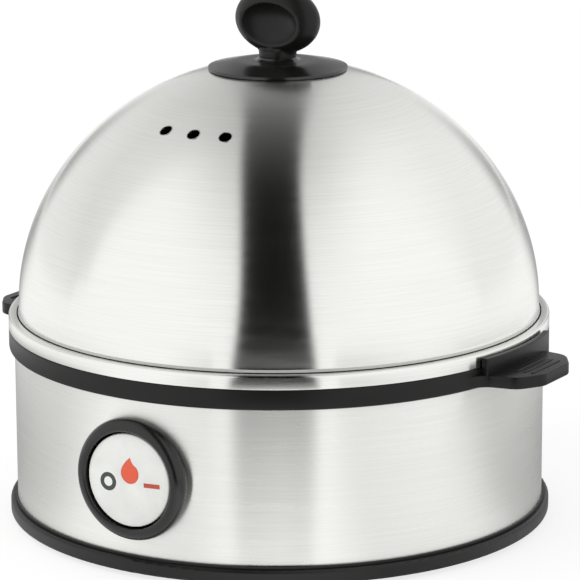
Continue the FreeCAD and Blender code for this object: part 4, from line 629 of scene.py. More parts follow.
def fired_ceramic(name, tone):
    """Steatite ceramic, pressed and fired: off-white and matt, with fine specks."""
    material, tree, shader = new_finish(name, {"IOR": 1.6, "Subsurface Weight": 0.08})
    specks = grain(tree, 0.6 * MM, 4.0)
    tinted(tree, shader, specks, shade(tone, 0.86), shade(tone, 1.04))
    tree.links.new(spread(tree, specks, 0.5, 0.65), shader.inputs["Roughness"])
    relief(tree, shader, specks, 0.25, 0.04 * MM)
    return material


def tinted_lens(name, tone):
    """Red polycarbonate lens, polished: glows through its depth and has a hard gloss."""
    material, tree, shader = new_finish(name, {
        "IOR": 1.58,
        "Coat Weight": 0.3,
        "Subsurface Weight": 0.1,
        "Subsurface Scale": 1.0 * MM,
    })
    tinted(tree, shader, grain(tree, 4 * MM), shade(tone, 0.96), shade(tone, 1.04))
    tree.links.new(spread(tree, grain(tree, 1.0 * MM), 0.16, 0.22), shader.inputs["Roughness"])
    return material


def lamp_glass(name, tone):
    """Blown glass of a neon lamp: clear, with a faint warm tint."""
    material, tree, shader = new_finish(name, {"IOR": 1.5, "Transmission Weight": 0.9})
    tinted(tree, shader, grain(tree, 2 * MM), shade(tone, 0.97), shade(tone, 1.03))
    tree.links.new(spread(tree, grain(tree, 1.5 * MM), 0.03, 0.08), shader.inputs["Roughness"])
    return material


def ink(name, tone):
    """Pad-printed ink: a thin, even, slightly matt film."""
    material, tree, shader = new_finish(name, {"IOR": 1.5})
    tinted(tree, shader, grain(tree, 0.5 * MM), shade(tone, 0.94), shade(tone, 1.06))
    tree.links.new(spread(tree, grain(tree, 0.4 * MM), 0.42, 0.5), shader.inputs["Roughness"])
    return material


def finish(slot):
    """The material of one of the record's slots, made once."""
    if slot in bpy.data.materials and bpy.data.materials[slot].get("dressed"):
        return bpy.data.materials[slot]
    tones = bpy.context.scene.egg_cooker_finishes
    steel, black = tuple(tones.steel), tuple(tones.black)
    # The maker of each slot's finish, then its colour and what else that maker takes.
    makers = {
        "brushed_steel": (brushed_steel, steel, 0.18, 0.9),
        "wrap_steel": (brushed_steel, steel, 0.28, 1.0),
        # Painted shade: this dark tone darkens the groove at the dome's foot in place of its shade.
        "steel_fold": (bare_metal, tuple(tones.fold), 0.45, 0.4, 0.02),
        "dull_steel": (bare_metal, tuple(tones.band), 0.7, 0.4, 0.02),
        "drawn_steel": (bare_metal, linear("#d6d5d0"), 0.26, 0.5, 0.01),
        "plated_steel": (bare_metal, linear("#c9c8c2"), 0.3, 0.7, 0.01),
        "cast_aluminium": (bare_metal, linear("#b9babb"), 0.5, 0.9, 0.08),
        "element_sheath": (bare_metal, linear("#7d7668"), 0.45, 0.6, 0.03),
        "black_abs": (moulded, black, 0.36, 0.3, 1.53, 0.33),
        "black_phenolic": (moulded, black, 0.34, 0.4, 1.55, 0.25),
        "polished_phenolic": (moulded, black, 0.2, 0.8, 1.55, 0.6),
        "gloss_black_abs": (moulded, black, 0.24, 0.6, 1.53),
        "grey_abs": (moulded, tuple(tones.cap), 0.3, 0.5, 1.53),
        "phenolic_case": (moulded, linear("#2a211b"), 0.45, 0.5, 1.6),
        "white_nylon": (moulded, linear("#dedbd0"), 0.42, 0.5, 1.53),
        "silicone": (soft_polymer, linear("#c9c4ba"), 0.5, 0.8),
        "black_rubber": (soft_polymer, linear("#1b1b1b"), 0.75, 0.5),
        "blue_lead": (soft_polymer, linear("#2d5d9a"), 0.42, 0.5),
        "brown_lead": (soft_polymer, linear("#5b3a25"), 0.42, 0.5),
        "earth_lead": (soft_polymer, linear("#7f9a2e"), 0.42, 0.5),
        "white_ceramic": (fired_ceramic, linear("#e2ded2")),
        "red_lens": (tinted_lens, tuple(tones.lens)),
        "lamp_glass": (lamp_glass, linear("#f2e4d6")),
        "off_ink": (ink, tuple(tones.off_mark)),
        "on_ink": (ink, tuple(tones.on_mark)),
    }
    old = bpy.data.materials.get(slot)
    if old:
        old.name = f"{slot}_plain"
    maker, *settings = makers[slot]
    material = maker(slot, *settings)
    material["dressed"] = True
    return material


# The lid.

def lid_outline(sizes):
    """The lid's section: hem, skirt, shoulder, fold, dome, and the same again inside."""
    band = LID_RADIUS
    foot = LID_LOW.z
    sheet = sizes.sheet
    shoulder = foot + sizes.skirt_height
    fold_radius = band - sizes.fold_inset
    fold = shoulder + sizes.fold_rise
    dome_radius = band - sizes.dome_inset
    flare = fold + sizes.flare_rise
    base = flare + sizes.wall_rise
    groove = sizes.fold_width
    shoulder_inside = max(0, sizes.skirt_round - sheet)
    outer = softened([
        (band - sheet, foot, sizes.hem_round),
        (band, foot, sizes.hem_round),
        (band, shoulder, sizes.skirt_round),
        (fold_radius + groove, fold - groove / 4),
        (fold_radius + groove / 2, fold - sizes.fold_depth),
        (fold_radius, fold + groove / 4),
        (dome_radius, flare, sheet / 2),
        (dome_radius, base),
        (dome_radius - sheet, base),
        (dome_radius - sheet, flare - sheet, sheet / 2),
        (fold_radius - sheet, fold - sheet),
        (band - sheet, shoulder - sheet, shoulder_inside),
    ])
    split = outer.index(next(point for point in outer if abs(point.y - base) < 0.001 * MM))
    rise = sizes.dome_height

    def arc(radius, height, steps):
        """Points up a quarter ellipse from its foot to the crown hole."""
        last = math.acos(sizes.crown_hole / radius)
        return [Vector((radius * math.cos(last * step / steps),
                        base + height * math.sin(last * step / steps)))
                for step in range(1, steps + 1)]

    up = arc(dome_radius, rise, 88)
    down = arc(dome_radius - sheet, rise - sheet, 44)[::-1]
    return outer[:split + 1] + up + down + outer[split + 1:], (dome_radius, rise, base)


def steam_spots(sizes, dome):
    """Where each steam hole goes through the dome, and the dome's normal there."""
    radius, rise, base = dome
    ring = sizes.steam_ring
    height = base + rise * math.sqrt(1 - (ring / radius) ** 2)
    spots = []
    for index in range(sizes.steam_count):
        swing = (index - (sizes.steam_count - 1) / 2) * sizes.steam_step
        spot = Vector((ring * math.sin(swing), -ring * math.cos(swing), height))
        normal = Vector((spot.x / radius ** 2, spot.y / radius ** 2, (height - base) / rise ** 2))
        spots.append((spot, normal.normalized()))
    return spots


def build_lid(sizes):
    """The brushed lid with its steam holes, the dull band at the dome's foot, and the groove there
    with painted shade.
    """
    outline, dome = lid_outline(sizes)
    radius, rise, base = dome
    lid = turned("lid_shell", outline, finish("brushed_steel"), steps=256)
    drills = []
    drill_length = 8 * sizes.sheet
    for spot, normal in steam_spots(sizes, dome):
        tilt = normal.to_track_quat("Z", "Y").to_matrix().to_4x4()
        drills.append(rod("drill", sizes.steam_radius, drill_length,
                          Matrix.Translation(spot) @ tilt))
    cut(lid, drills)
    smooth(lid, 30)

    def on_dome(spot):
        """The ellipsoid's normal at a point of the dome's wall, or None below it."""
        if spot.z < base + 0.01 * MM:
            return None
        return Vector((spot.x / radius ** 2, spot.y / radius ** 2,
                       (spot.z - base) / rise ** 2)).normalized()

    true_normals(lid, on_dome)
    for slot in ("steel_fold", "dull_steel"):
        lid.data.materials.append(finish(slot))
    fold = LID_LOW.z + sizes.skirt_height + sizes.fold_rise
    near = LID_RADIUS - sizes.fold_inset
    for face in lid.data.polygons:
        reach = math.hypot(face.center.x, face.center.y)
        across = (reach - near) / sizes.fold_width
        above = face.center.z - fold
        # The groove's faces take the fold's painted shade; the band's faces take the dull steel.
        if -0.1 < across < 1.05 and -sizes.fold_depth < above < 0:
            face.material_index = 1
        elif 0 < above < sizes.flare_rise and reach > radius - sizes.sheet / 6:
            face.material_index = 2
    settle(lid, "lid", "brushed_steel", "lid_dome")
    build_steam_rims(sizes, dome)


def rim_tree():
    """Sets a burnished ring of wire on each point, square to the point's normal."""
    tree, start, end = new_tree("steam rims", [
        ("Hole Radius", "NodeSocketFloat"),
        ("Wire Radius", "NodeSocketFloat"),
        ("Material", "NodeSocketMaterial"),
    ])
    circle = add(tree, "GeometryNodeCurvePrimitiveCircle", {"Resolution": 48},
                 {"Radius": start[1]})
    section = add(tree, "GeometryNodeCurvePrimitiveCircle", {"Resolution": 10},
                  {"Radius": start[2]})
    ring = add(tree, "GeometryNodeCurveToMesh",
               links={"Curve": circle, "Profile Curve": section})
    normal = add(tree, "GeometryNodeInputNamedAttribute",
                 {"data_type": "FLOAT_VECTOR", "Name": "square_to"})
    aim = add(tree, "FunctionNodeAlignRotationToVector", {"axis": "Z"}, {"Vector": normal})
    placed = add(tree, "GeometryNodeInstanceOnPoints", links={
        "Points": start[0], "Instance": ring, "Rotation": aim,
    })
    finish_tree(tree, end, placed, start[3])
    return tree


def build_steam_rims(sizes, dome):
    """The burnished edges of the steam holes."""
    spots = steam_spots(sizes, dome)
    mesh = bpy.data.meshes.new("steam_rims")
    mesh.from_pydata([spot for spot, normal in spots], [], [])
    square = mesh.attributes.new("square_to", "FLOAT_VECTOR", "POINT")
    for index, (spot, normal) in enumerate(spots):
        square.data[index].vector = normal
    rims = grown("steam_rims", mesh, rim_tree(), {
        "Hole Radius": sizes.steam_radius,
        "Wire Radius": sizes.rim_wire,
        "Material": finish("plated_steel"),
    })
    settle(smooth(rims, 60), "lid", "brushed_steel", "lid_dome")


# The knob.

def build_knob(sizes, lid_sizes):
    """The disc on the crown and the pinched grip above it."""
    radius, dome_rise, base = lid_outline(lid_sizes)[1]
    disc_radius = DISC_HIGH.x
    bore = sizes.disc_bore

    def skin(reach, lift):
        """A point over the dome at a distance from the axis."""
        return (reach, base + dome_rise * math.sqrt(1 - (reach / radius) ** 2) + lift)

    gap = DISC_LOW.z - skin(disc_radius, 0)[1]
    middle = (disc_radius + bore) / 2
    neck_base = DISC_HIGH.z
    edge = sizes.disc_edge
    rim_top = skin(disc_radius, gap)[1] + edge
    middle_top = skin(middle, gap)[1] + edge
    section = softened([
        (bore, skin(bore, gap)[1]),
        skin(middle, gap),
        (*skin(disc_radius, gap), edge / 4),
        (disc_radius, rim_top, edge / 3),
        (middle, middle_top, disc_radius),
        (sizes.neck_radius * 1.1, neck_base - edge, sizes.disc_hollow),
        (sizes.neck_radius, neck_base),
        (bore, neck_base),
    ], 8)
    disc = turned("knob_plate", section, finish("polished_phenolic"), steps=160)
    settle(smooth(disc, 50), "lid", "black_phenolic", "knob_disc")

    centre = GRIP_HIGH.z - sizes.half_height
    grip = ellipsoid("knob_grip", (GRIP_HIGH.x, sizes.half_thickness, sizes.half_height),
                     (0, 0, centre))
    cut(grip, [ellipsoid("dimple", (sizes.dimple_width, sizes.dimple_depth,
                                    sizes.dimple_height),
                         (0, side * sizes.dimple_offset, centre - sizes.dimple_drop))
               for side in (-1, 1)])
    foot = neck_base - sizes.neck_sink
    rise = sizes.neck_sink + sizes.neck_height
    neck = rod("neck", sizes.neck_radius, rise, Matrix.Translation((0, 0, foot + rise / 2)), 96)
    union = grip.modifiers.new("neck", "BOOLEAN")
    union.operation = "UNION"
    union.object = neck
    union.solver = "EXACT"
    applied(grip)
    bpy.data.objects.remove(neck)
    blend = grip.modifiers.new("blend", "REMESH")
    blend.mode = "VOXEL"
    blend.voxel_size = sizes.voxel
    ease = grip.modifiers.new("ease", "SMOOTH")
    ease.factor = 0.5
    ease.iterations = 24
    applied(grip)
    low = min(vertex.co.z for vertex in grip.data.vertices)
    high = max(vertex.co.z for vertex in grip.data.vertices)
    stretch = (GRIP_HIGH.z - foot) / (high - low)
    moved(grip, Matrix.Translation((0, 0, foot)) @ Matrix.Diagonal((1, 1, stretch, 1))
          @ Matrix.Translation((0, 0, -low)))
    grip.data.materials.clear()
    grip.data.materials.append(finish("black_phenolic"))
    grip.data.shade_smooth()
    settle(grip, "lid", "black_phenolic", "lid_knob")


def ellipsoid(name, halves, centre):
    """A closed ellipsoid with its half sizes along X, Y and Z."""
    form = bmesh.new()
    bmesh.ops.create_icosphere(form, subdivisions=6, radius=1)
    mesh = bpy.data.meshes.new(name)
    form.to_mesh(mesh)
    form.free()
    piece = show(bpy.data.objects.new(name, mesh))
    return moved(piece, Matrix.Translation(centre) @ Matrix.Diagonal((*halves, 1)))


# The base.

def build_wrap(sizes):
    """The brushed wrap round the base, and the sheet that closes it at the rear."""
    radius = WRAP_RADIUS
    inner = radius - sizes.sheet
    low, high = SLEEVE_LOW.z, SLEEVE_HIGH.z
    edge = sizes.sheet / 4
    section = softened([
        (inner, low, edge), (radius, low, edge), (radius, high, edge), (inner, high, edge),
    ], 3)
    rear = QUARTER_TURN
    opening = sizes.seam + sizes.seam_gap
    wrap = turned("steel_wrap", section, finish("wrap_steel"), steps=240,
                  first=rear + opening, sweep=FULL_TURN - 2 * opening)
    sheet = turned("rear_sheet", section, finish("wrap_steel"), steps=32,
                   first=rear - sizes.seam, sweep=2 * sizes.seam)
    upright = Matrix.Rotation(QUARTER_TURN, 4, "X")
    ahead = Matrix.Translation((0, -radius, CONTROL_HEIGHT))
    cut(wrap, [rod("hole", sizes.control_hole, radius, ahead @ upright)])
    behind = Matrix.Translation((0, radius, (GLAND_LOW.z + GLAND_HIGH.z) / 2))
    cut(sheet, [rod("hole", sizes.gland_hole, radius, behind @ upright)])
    for piece in (wrap, sheet):
        smooth(piece, 30)
        true_normals(piece, lambda spot: Vector((spot.x, spot.y, 0)).normalized())
    settle(wrap, "base", "brushed_steel", "steel_sleeve")
    settle(sheet, "base", "brushed_steel", "rear_panel")


# The egg rack.

def build_rack(sizes):
    """The rack's ring with its stops."""
    radius = RACK_RADIUS
    deck = RACK_LOW.z
    top = deck + sizes.height
    guide = LID_RADIUS - 2 * sizes.guide_gap
    inner = radius - sizes.wall
    edge = sizes.edge
    flange = inner - sizes.flange_width
    under = deck + sizes.flange_height
    apron = WRAP_RADIUS + sizes.apron_gap
    guide_top = top + sizes.guide_height
    ring = turned("rack_band", softened([
        (flange, deck, edge / 2),
        (apron, deck),
        (apron, deck - sizes.apron),
        (radius, deck - sizes.apron, edge),
        (radius, top, edge),
        (guide, top),
        (guide, guide_top, edge / 2),
        (inner, guide_top, edge / 2),
        (inner, under),
        (flange, under, edge / 2),
    ], 5), finish("black_phenolic"), steps=256)
    settle(ring, "egg_rack", "black_phenolic", "rack_ring")
    near = radius + sizes.stop_gap
    root = radius - sizes.stop_gap
    step = top - edge
    far = near + sizes.stop_width
    corner = sizes.stop_edge
    stops = []
    for side in (0, HALF_TURN):
        stop = turned("rack_stop", softened([
            (root, deck + edge),
            (far, deck + edge, corner / 2),
            (far, RACK_HIGH.z, corner),
            (near, RACK_HIGH.z, corner),
            (near, step),
            (root, step),
        ], 4), finish("black_phenolic"), steps=28, first=side - sizes.stop_half,
            sweep=2 * sizes.stop_half)
        stops.append(stop)
    stops = merged("rack_stops", stops)
    bevel = stops.modifiers.new("ends", "BEVEL")
    bevel.width = corner / 2
    bevel.segments = 3
    bevel.limit_method = "ANGLE"
    bevel.angle_limit = math.radians(60)
    applied(stops)
    settle(smooth(stops, 40), "egg_rack", "black_phenolic", "rack_ring")


def merged(name, pieces):
    """One object of several, with the first one's materials."""
    form = bmesh.new()
    for piece in pieces:
        form.from_mesh(piece.data)
    mesh = bpy.data.meshes.new(name)
    form.to_mesh(mesh)
    form.free()
    mesh.materials.append(pieces[0].data.materials[0])
    for piece in pieces:
        bpy.data.objects.remove(piece)
    return show(bpy.data.objects.new(name, mesh))


def build_handles(sizes):
    """The two carrying handles, with the gripping ridges on top."""
    radius = RACK_RADIUS
    reach = RACK_HIGH.x
    deck = RACK_LOW.z
    half = sizes.root_half
    root = math.sqrt(radius ** 2 - half ** 2)
    corner = sizes.corner_half
    back = reach - sizes.corner_back
    hollow = sizes.root_round
    lead = 2 * hollow
    edge_slope = (half - corner) / (back - root)
    foot_half = half + lead
    foot = math.sqrt(radius ** 2 - foot_half ** 2) - sizes.wall / 3
    outline = softened([
        (foot, -foot_half),
        (root + hollow / 2, -half + edge_slope * hollow / 2, hollow * 2),
        (back, -corner, sizes.corner_round),
        (reach, -corner / 2, sizes.corner_round),
        (reach, corner / 2, sizes.corner_round),
        (back, corner, sizes.corner_round),
        (root + hollow / 2, half - edge_slope * hollow / 2, hollow * 2),
        (foot, foot_half),
    ], 8)
    plate = prism("handle", outline, sizes.handle_height, finish("black_phenolic"),
                  sizes.handle_edge)
    moved(plate, Matrix.Translation((0, 0, deck)))
    other = show(bpy.data.objects.new("handle_other", plate.data.copy()))
    moved(other, Matrix.Rotation(HALF_TURN, 4, "Z"))
    handles = merged("carrying_handles", [plate, other])
    moved(handles, Matrix.Translation((0, -sizes.handle_shift, 0)))
    settle(smooth(handles, 40), "egg_rack", "black_phenolic", "rack_ring")
    top = deck + sizes.handle_height
    mesh = bpy.data.meshes.new("handle_ridges")
    starts = [side * (reach - sizes.ridge_inset + sizes.ridge_width / 2) for side in (1, -1)]
    mesh.from_pydata([(start, -sizes.handle_shift, top) for start in starts], [], [])
    way = mesh.attributes.new("inwards", "FLOAT", "POINT")
    for index, start in enumerate(starts):
        way.data[index].value = math.copysign(1, start)
    ridges = grown("handle_ridges", mesh, ridge_tree(), {
        "Count": sizes.ridge_count,
        "Pitch": sizes.ridge_pitch,
        "Width": sizes.ridge_width,
        "Height": sizes.ridge_height,
        "Half Length": sizes.ridge_half,
        "Material": finish("black_phenolic"),
    })
    settle(smooth(ridges, 50), "egg_rack", "black_phenolic", "rack_ring")


def ridge_tree():
    """Lays a row of round-topped ridges inwards from each point."""
    tree, start, end = new_tree("gripping ridges", [
        ("Count", "NodeSocketInt"),
        ("Pitch", "NodeSocketFloat"),
        ("Width", "NodeSocketFloat"),
        ("Height", "NodeSocketFloat"),
        ("Half Length", "NodeSocketFloat"),
        ("Material", "NodeSocketMaterial"),
    ])
    points, count, pitch, width, height, half, material = (start[index] for index in range(7))
    place = add(tree, "GeometryNodeInputPosition")
    inwards = add(tree, "GeometryNodeInputNamedAttribute",
                  {"data_type": "FLOAT", "Name": "inwards"})
    copies = add(tree, "GeometryNodeDuplicateElements", {"domain": "POINT"},
                 {"Geometry": points, "Amount": count})
    step = maths(tree, "MULTIPLY", maths(tree, "MULTIPLY", copies.outputs[1], pitch), inwards)
    shift = add(tree, "ShaderNodeCombineXYZ", links={"X": step})
    laid = add(tree, "GeometryNodeSetPosition", links={"Geometry": copies, "Offset": shift})
    bar = add(tree, "GeometryNodeMeshUVSphere", {"Segments": 24, "Rings": 16, "Radius": 1.0})
    local = add(tree, "ShaderNodeSeparateXYZ", links={0: place}).outputs
    # Powers under one square the sphere off, so that a ridge has a flat top and blunt ends.
    squared = []
    for axis, size, power in ((0, maths(tree, "DIVIDE", width, 2), 0.6), (1, half, 0.12),
                              (2, height, 0.6)):
        blunt = maths(tree, "POWER", maths(tree, "ABSOLUTE", local[axis]), power)
        signed = maths(tree, "MULTIPLY", blunt, maths(tree, "SIGN", local[axis]))
        squared.append(maths(tree, "MULTIPLY", signed, size))
    shaped = add(tree, "ShaderNodeCombineXYZ", links=dict(zip("XYZ", squared)))
    ridge = add(tree, "GeometryNodeSetPosition", links={"Geometry": bar, "Position": shaped})
    placed = add(tree, "GeometryNodeInstanceOnPoints",
                 links={"Points": laid, "Instance": ridge})
    finish_tree(tree, end, placed, material)
    return tree


# The control.

def facing_front(depth_from):
    """Stand a body that was turned about Z on the control's axis, facing -Y."""
    place = Matrix.Translation((0, depth_from, CONTROL_HEIGHT))
    return place @ Matrix.Rotation(QUARTER_TURN, 4, "X")


def build_bezel(sizes):
    """The black bezel: a rounded bead on the wrap and a tube through it."""
    half = (BEZEL_HIGH.z - BEZEL_LOW.z) / 2
    radius = half - sizes.bead_inset
    wrap = WRAP_RADIUS
    stand = -BEZEL_LOW.y - wrap
    back = -BEZEL_HIGH.y - wrap
    bead = sizes.bead_round
    saddle = radius ** 2 / wrap / 2
    bore = sizes.tube - sizes.tube_wall
    floor = stand - sizes.mouth_depth
    tube_edge = 0.3 * MM
    bezel = turned("bezel_ring", softened([
        (bore, back, tube_edge),
        (sizes.tube, back, tube_edge),
        (sizes.tube, -2 * saddle),
        (radius - sizes.foot_inset, -2 * saddle),
        (radius - sizes.foot_inset, -saddle),
        (radius, sizes.bead_foot, sizes.foot_round),
        (radius, stand, bead),
        (sizes.mouth, stand, sizes.mouth_round),
        (sizes.mouth, floor),
        (bore, floor),
    ], 10), finish("gloss_black_abs"), steps=160)
    moved(bezel, facing_front(-wrap))
    body = rod("wall", wrap, 3 * radius, Matrix.Translation((0, 0, BEZEL_LOW.z + half)), 512)
    keep = rod("keep", sizes.tube, wrap, facing_front(-wrap / 2), 160)
    cut(body, [keep])
    cut(bezel, [body])
    settle(smooth(outward(bezel), 35), "base", "gloss_black_abs", "control_bezel")


def drop_points(width, height, steps=12):
    """A drop's outline about its round end's centre: full left flank, hollow right flank."""
    radius = width / 2
    tip = Vector((0.05 * radius, height - radius))
    first, last = math.radians(150), math.radians(408)

    def on_circle(bearing):
        return Vector((radius * math.cos(bearing), radius * math.sin(bearing)))

    def flank(start, pull, end):
        """Points of a curve that a third point pulls to its side, without its last point."""
        shares = [step / steps for step in range(steps)]
        return [start * (1 - share) ** 2 + pull * (2 * share * (1 - share)) + end * share ** 2
                for share in shares]

    rounds = 4 * steps
    points = [on_circle(first + (last - first) * step / rounds) for step in range(rounds)]
    points += flank(on_circle(last), Vector((0.22, 0.92)) * radius, tip)
    return points + flank(tip, Vector((-0.6, 1.05)) * radius, on_circle(first))


def build_rocker(sizes):
    """The pale round cap with its drop-shaped lens and the two printed marks."""
    wrap = WRAP_RADIUS
    face = -CAP_LOW.y - wrap + sizes.cap_stand
    radius = (CAP_HIGH.z - CAP_LOW.z) / 2
    crown = sizes.cap_crown
    edge = sizes.cap_edge
    thickness = sizes.cap_thickness
    # The face is crowned by a shallow arc that ends in a rounded edge.
    arc = [(radius * share, face - crown * share ** 2) for share in
           (step / 24 for step in range(23))]
    section = softened([
        (0, face - thickness),
        (radius, face - thickness, 0.2 * MM),
        (radius, face - crown, edge),
    ], 6)
    cap = turned("rocker_face", section + [Vector(point) for point in arc[::-1]],
                 finish("grey_abs"), steps=160)
    width = LENS_HIGH.x - LENS_LOW.x + sizes.lens_grow
    height = LENS_HIGH.z - LENS_LOW.z + sizes.lens_grow
    low = LENS_LOW.z + width / 2 - CONTROL_HEIGHT
    window = prism("window", drop_points(width, height), 3 * thickness, finish("grey_abs"), 0)
    moved(window, Matrix.Translation((sizes.lens_shift, low, face - 2 * thickness)))
    cut(cap, [window])
    gap = sizes.lens_gap
    lens = prism("drop_lens", drop_points(width - 2 * gap, height - 3 * gap), thickness,
                 finish("red_lens"), 2 * gap, 3)
    moved(lens, Matrix.Translation((sizes.lens_shift, low, face - thickness)))
    for piece, slot, node in ((smooth(cap, 35), "grey_abs", "rocker_cap"),
                              (lens, "red_lens", "indicator_lens")):
        moved(piece, facing_front(-wrap))
        settle(piece, "rocker", slot, node)
    film = sizes.print_height
    sunk = 2 * crown + film
    off = turned("off_mark", [
        (sizes.ring_radius - sizes.mark_stroke, -sunk), (sizes.ring_radius, -sunk),
        (sizes.ring_radius, 0), (sizes.ring_radius - sizes.mark_stroke, 0),
    ], finish("off_ink"), steps=64)
    moved(off, Matrix.Translation((-sizes.mark_offset, 0, 0)))
    slope = Matrix.Rotation(sizes.mark_turn, 4, "Z")
    level = Matrix.Translation((sizes.mark_shift, -sizes.mark_drop, 0)) @ slope
    half, thick = sizes.dash_length / 2, sizes.mark_stroke / 2
    on = prism("on_mark", [(-half, -thick), (half, -thick), (half, thick), (-half, thick)],
               sunk, finish("on_ink"), 0)
    moved(on, Matrix.Translation((sizes.mark_offset, 0, -sunk)))
    for mark in (off, on):
        moved(mark, level)
        for vertex in mark.data.vertices:
            reach = math.hypot(vertex.co.x, vertex.co.y) / radius
            vertex.co.z += face - crown * reach ** 2 + film
        moved(mark, facing_front(-wrap))
        settle(mark, "rocker", "grey_abs", "rocker_cap")


# What stays as the frame has it.

def dress_nodes():
    """Every node that no new piece stands for gets the finish of its own slot."""
    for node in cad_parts.values():
        if node.hide_render:
            continue
        for place in node.material_slots:
            slot = place.material.name.removesuffix("_plain").split(".")[0]
            place.material = finish(slot)


# The stage.

# What the steel reflects, as pairs of an angle in degrees and a value. LEFT and RIGHT are the
# sides of the dark flag, as the camera sees them. Over the rise from the front horizon: the
# flag's half width and tone, how much darker the sky is beside it (SHOULDER, over SHOULDER_WIDTH
# degrees), and the open sky (CEILING). Over the bearing from the camera: the floor near the
# object (NEAR) and further off (FLOOR), and the grey at the back, which fades into the sky
# between two heights in degrees.
LEFT_FLAG = ((0, 15.8), (21, 14.2), (50, 13.4), (75, 12.6), (90, 11.8), (105, 10.2), (180, 8.5))
RIGHT_FLAG = ((0, 15.8), (21, 14.0), (50, 10.8), (75, 8.2), (90, 7.4), (105, 6.8), (180, 5.8))
FLAG_TONE = ((0, 0.0), (72, 0.01), (92, 0.05), (112, 0.13), (132, 0.30), (180, 0.4))
SHOULDER = ((0, 0.03), (30, 0.08), (50, 0.16), (75, 0.30), (90, 0.36), (112, 0.32), (180, 0.1))
LEFT_CEILING = ((0, 1.0), (75, 1.0), (90, 0.96), (104, 0.78), (130, 0.74), (150, 0.8), (180, 0.86))
RIGHT_CEILING = ((0, 1.0), (75, 1.0), (100, 0.94), (130, 0.88), (180, 0.88))
SHOULDER_WIDTH = 38
LEFT_NEAR = ((0, 1.3), (9, 1.2), (25, 0.84), (36, 0.92), (45, 1.0), (60, 1.0), (77, 0.68),
             (88, 0.56), (100, 0.48), (114, 0.40), (128, 0.38), (147, 0.42), (152, 0.75),
             (180, 0.75))
RIGHT_NEAR = ((0, 1.3), (9, 1.2), (25, 0.83), (40, 0.88), (55, 0.92), (66, 0.8), (75, 0.55),
              (86, 0.43), (97, 0.4), (110, 0.35), (128, 0.31), (147, 0.40), (152, 0.75),
              (180, 0.75))
LEFT_FLOOR = ((0, 0.7), (28, 0.7), (42, 1.0), (180, 1.0))
RIGHT_FLOOR = ((0, 0.6), (31, 0.62), (40, 0.75), (55, 0.9), (100, 0.9), (125, 0.95), (180, 1.0))
BACK = ((0, 1.0), (125, 1.0), (138, 0.97), (145, 0.80), (150, 0.50), (156, 0.36), (161, 0.50),
        (168, 0.85), (175, 1.0), (180, 1.0))
BACK_LOW, BACK_HIGH = 4, 20

FLOOR_GLOW = 0.78
LAMP_WIDTH, LAMP_DEPTH, LAMP_POWER = 1.2, 0.9, 9.0
LAMP_PLACE, LAMP_AIM = Vector((-0.75, -1.0, 1.25)), Vector((0, 0, 0.08))
WHITE = (1.0, 1.0, 1.0, 1.0)


def curve_at(place, stops):
    """The value between stops of (place, value)."""
    for (low, before), (high, after) in zip(stops, stops[1:]):
        if place <= high:
            return before + (after - before) * max(0, place - low) / (high - low)
    return stops[-1][1]


def eased(place, low, high):
    """From 0 to 1 between two places, without corners."""
    share = min(1, max(0, (place - low) / (high - low)))
    return share * share * (3 - 2 * share)


def sky_tone(rise, aside, edge):
    """Brightness of the sky at a rise from the front horizon and an angle to the side."""
    flag, ceiling = (RIGHT_FLAG, RIGHT_CEILING) if aside > 0 else (LEFT_FLAG, LEFT_CEILING)
    half = curve_at(rise, flag)
    past = eased(abs(aside), half - edge / 2, half + edge / 2)
    beside = 1 - eased(abs(aside), half, half + SHOULDER_WIDTH)
    open_sky = (1 - curve_at(rise, SHOULDER) * beside ** 2) * curve_at(rise, ceiling)
    tone = curve_at(rise, FLAG_TONE) * (1 - past) + open_sky * past
    swing, turn = math.radians(rise), math.radians(aside)
    bearing = math.degrees(math.atan2(abs(math.sin(turn)), math.cos(turn) * math.cos(swing)))
    above = math.degrees(math.asin(math.cos(turn) * math.sin(swing)))
    over = eased(above, BACK_LOW, BACK_HIGH)
    return tone * over + min(tone, curve_at(bearing, BACK)) * (1 - over)


def floor_tones(bearing):
    """Brightness of the floor at a bearing from the camera: near, at the side, and far off."""
    near = curve_at(abs(bearing), RIGHT_NEAR if bearing > 0 else LEFT_NEAR)
    back = curve_at(abs(bearing), BACK)
    side = min(back, curve_at(abs(bearing), RIGHT_FLOOR if bearing > 0 else LEFT_FLOOR))
    return near, near, side, side, back, back


def reflected_sheet(name, rows):
    """A sheet that only reflections see, of rows of (place, brightness)."""
    count = len(rows[0])
    mesh = bpy.data.meshes.new(name)
    spots = [spot for row in rows for spot in row]
    faces = [(at, at + 1, at + count + 1, at + count)
             for index in range(len(rows) - 1)
             for at in range(index * count, (index + 1) * count - 1)]
    mesh.from_pydata([place for place, tone in spots], [], faces)
    tones = mesh.attributes.new("tone", "FLOAT", "POINT")
    for index, (place, tone) in enumerate(spots):
        tones.data[index].value = tone
    material = bpy.data.materials.new(name)
    material.use_nodes = True
    material.cycles.emission_sampling = "NONE"
    tree = material.node_tree
    tree.nodes.clear()
    tone = add(tree, "ShaderNodeAttribute", {"attribute_name": "tone"}).outputs["Fac"]
    glow = add(tree, "ShaderNodeEmission", {"Color": WHITE}, {"Strength": tone})
    add(tree, "ShaderNodeOutputMaterial", links={"Surface": glow})
    mesh.materials.append(material)
    piece = show(bpy.data.objects.new(name, mesh))
    piece.visible_camera = False
    piece.visible_diffuse = False
    piece.visible_transmission = False
    piece.visible_shadow = False


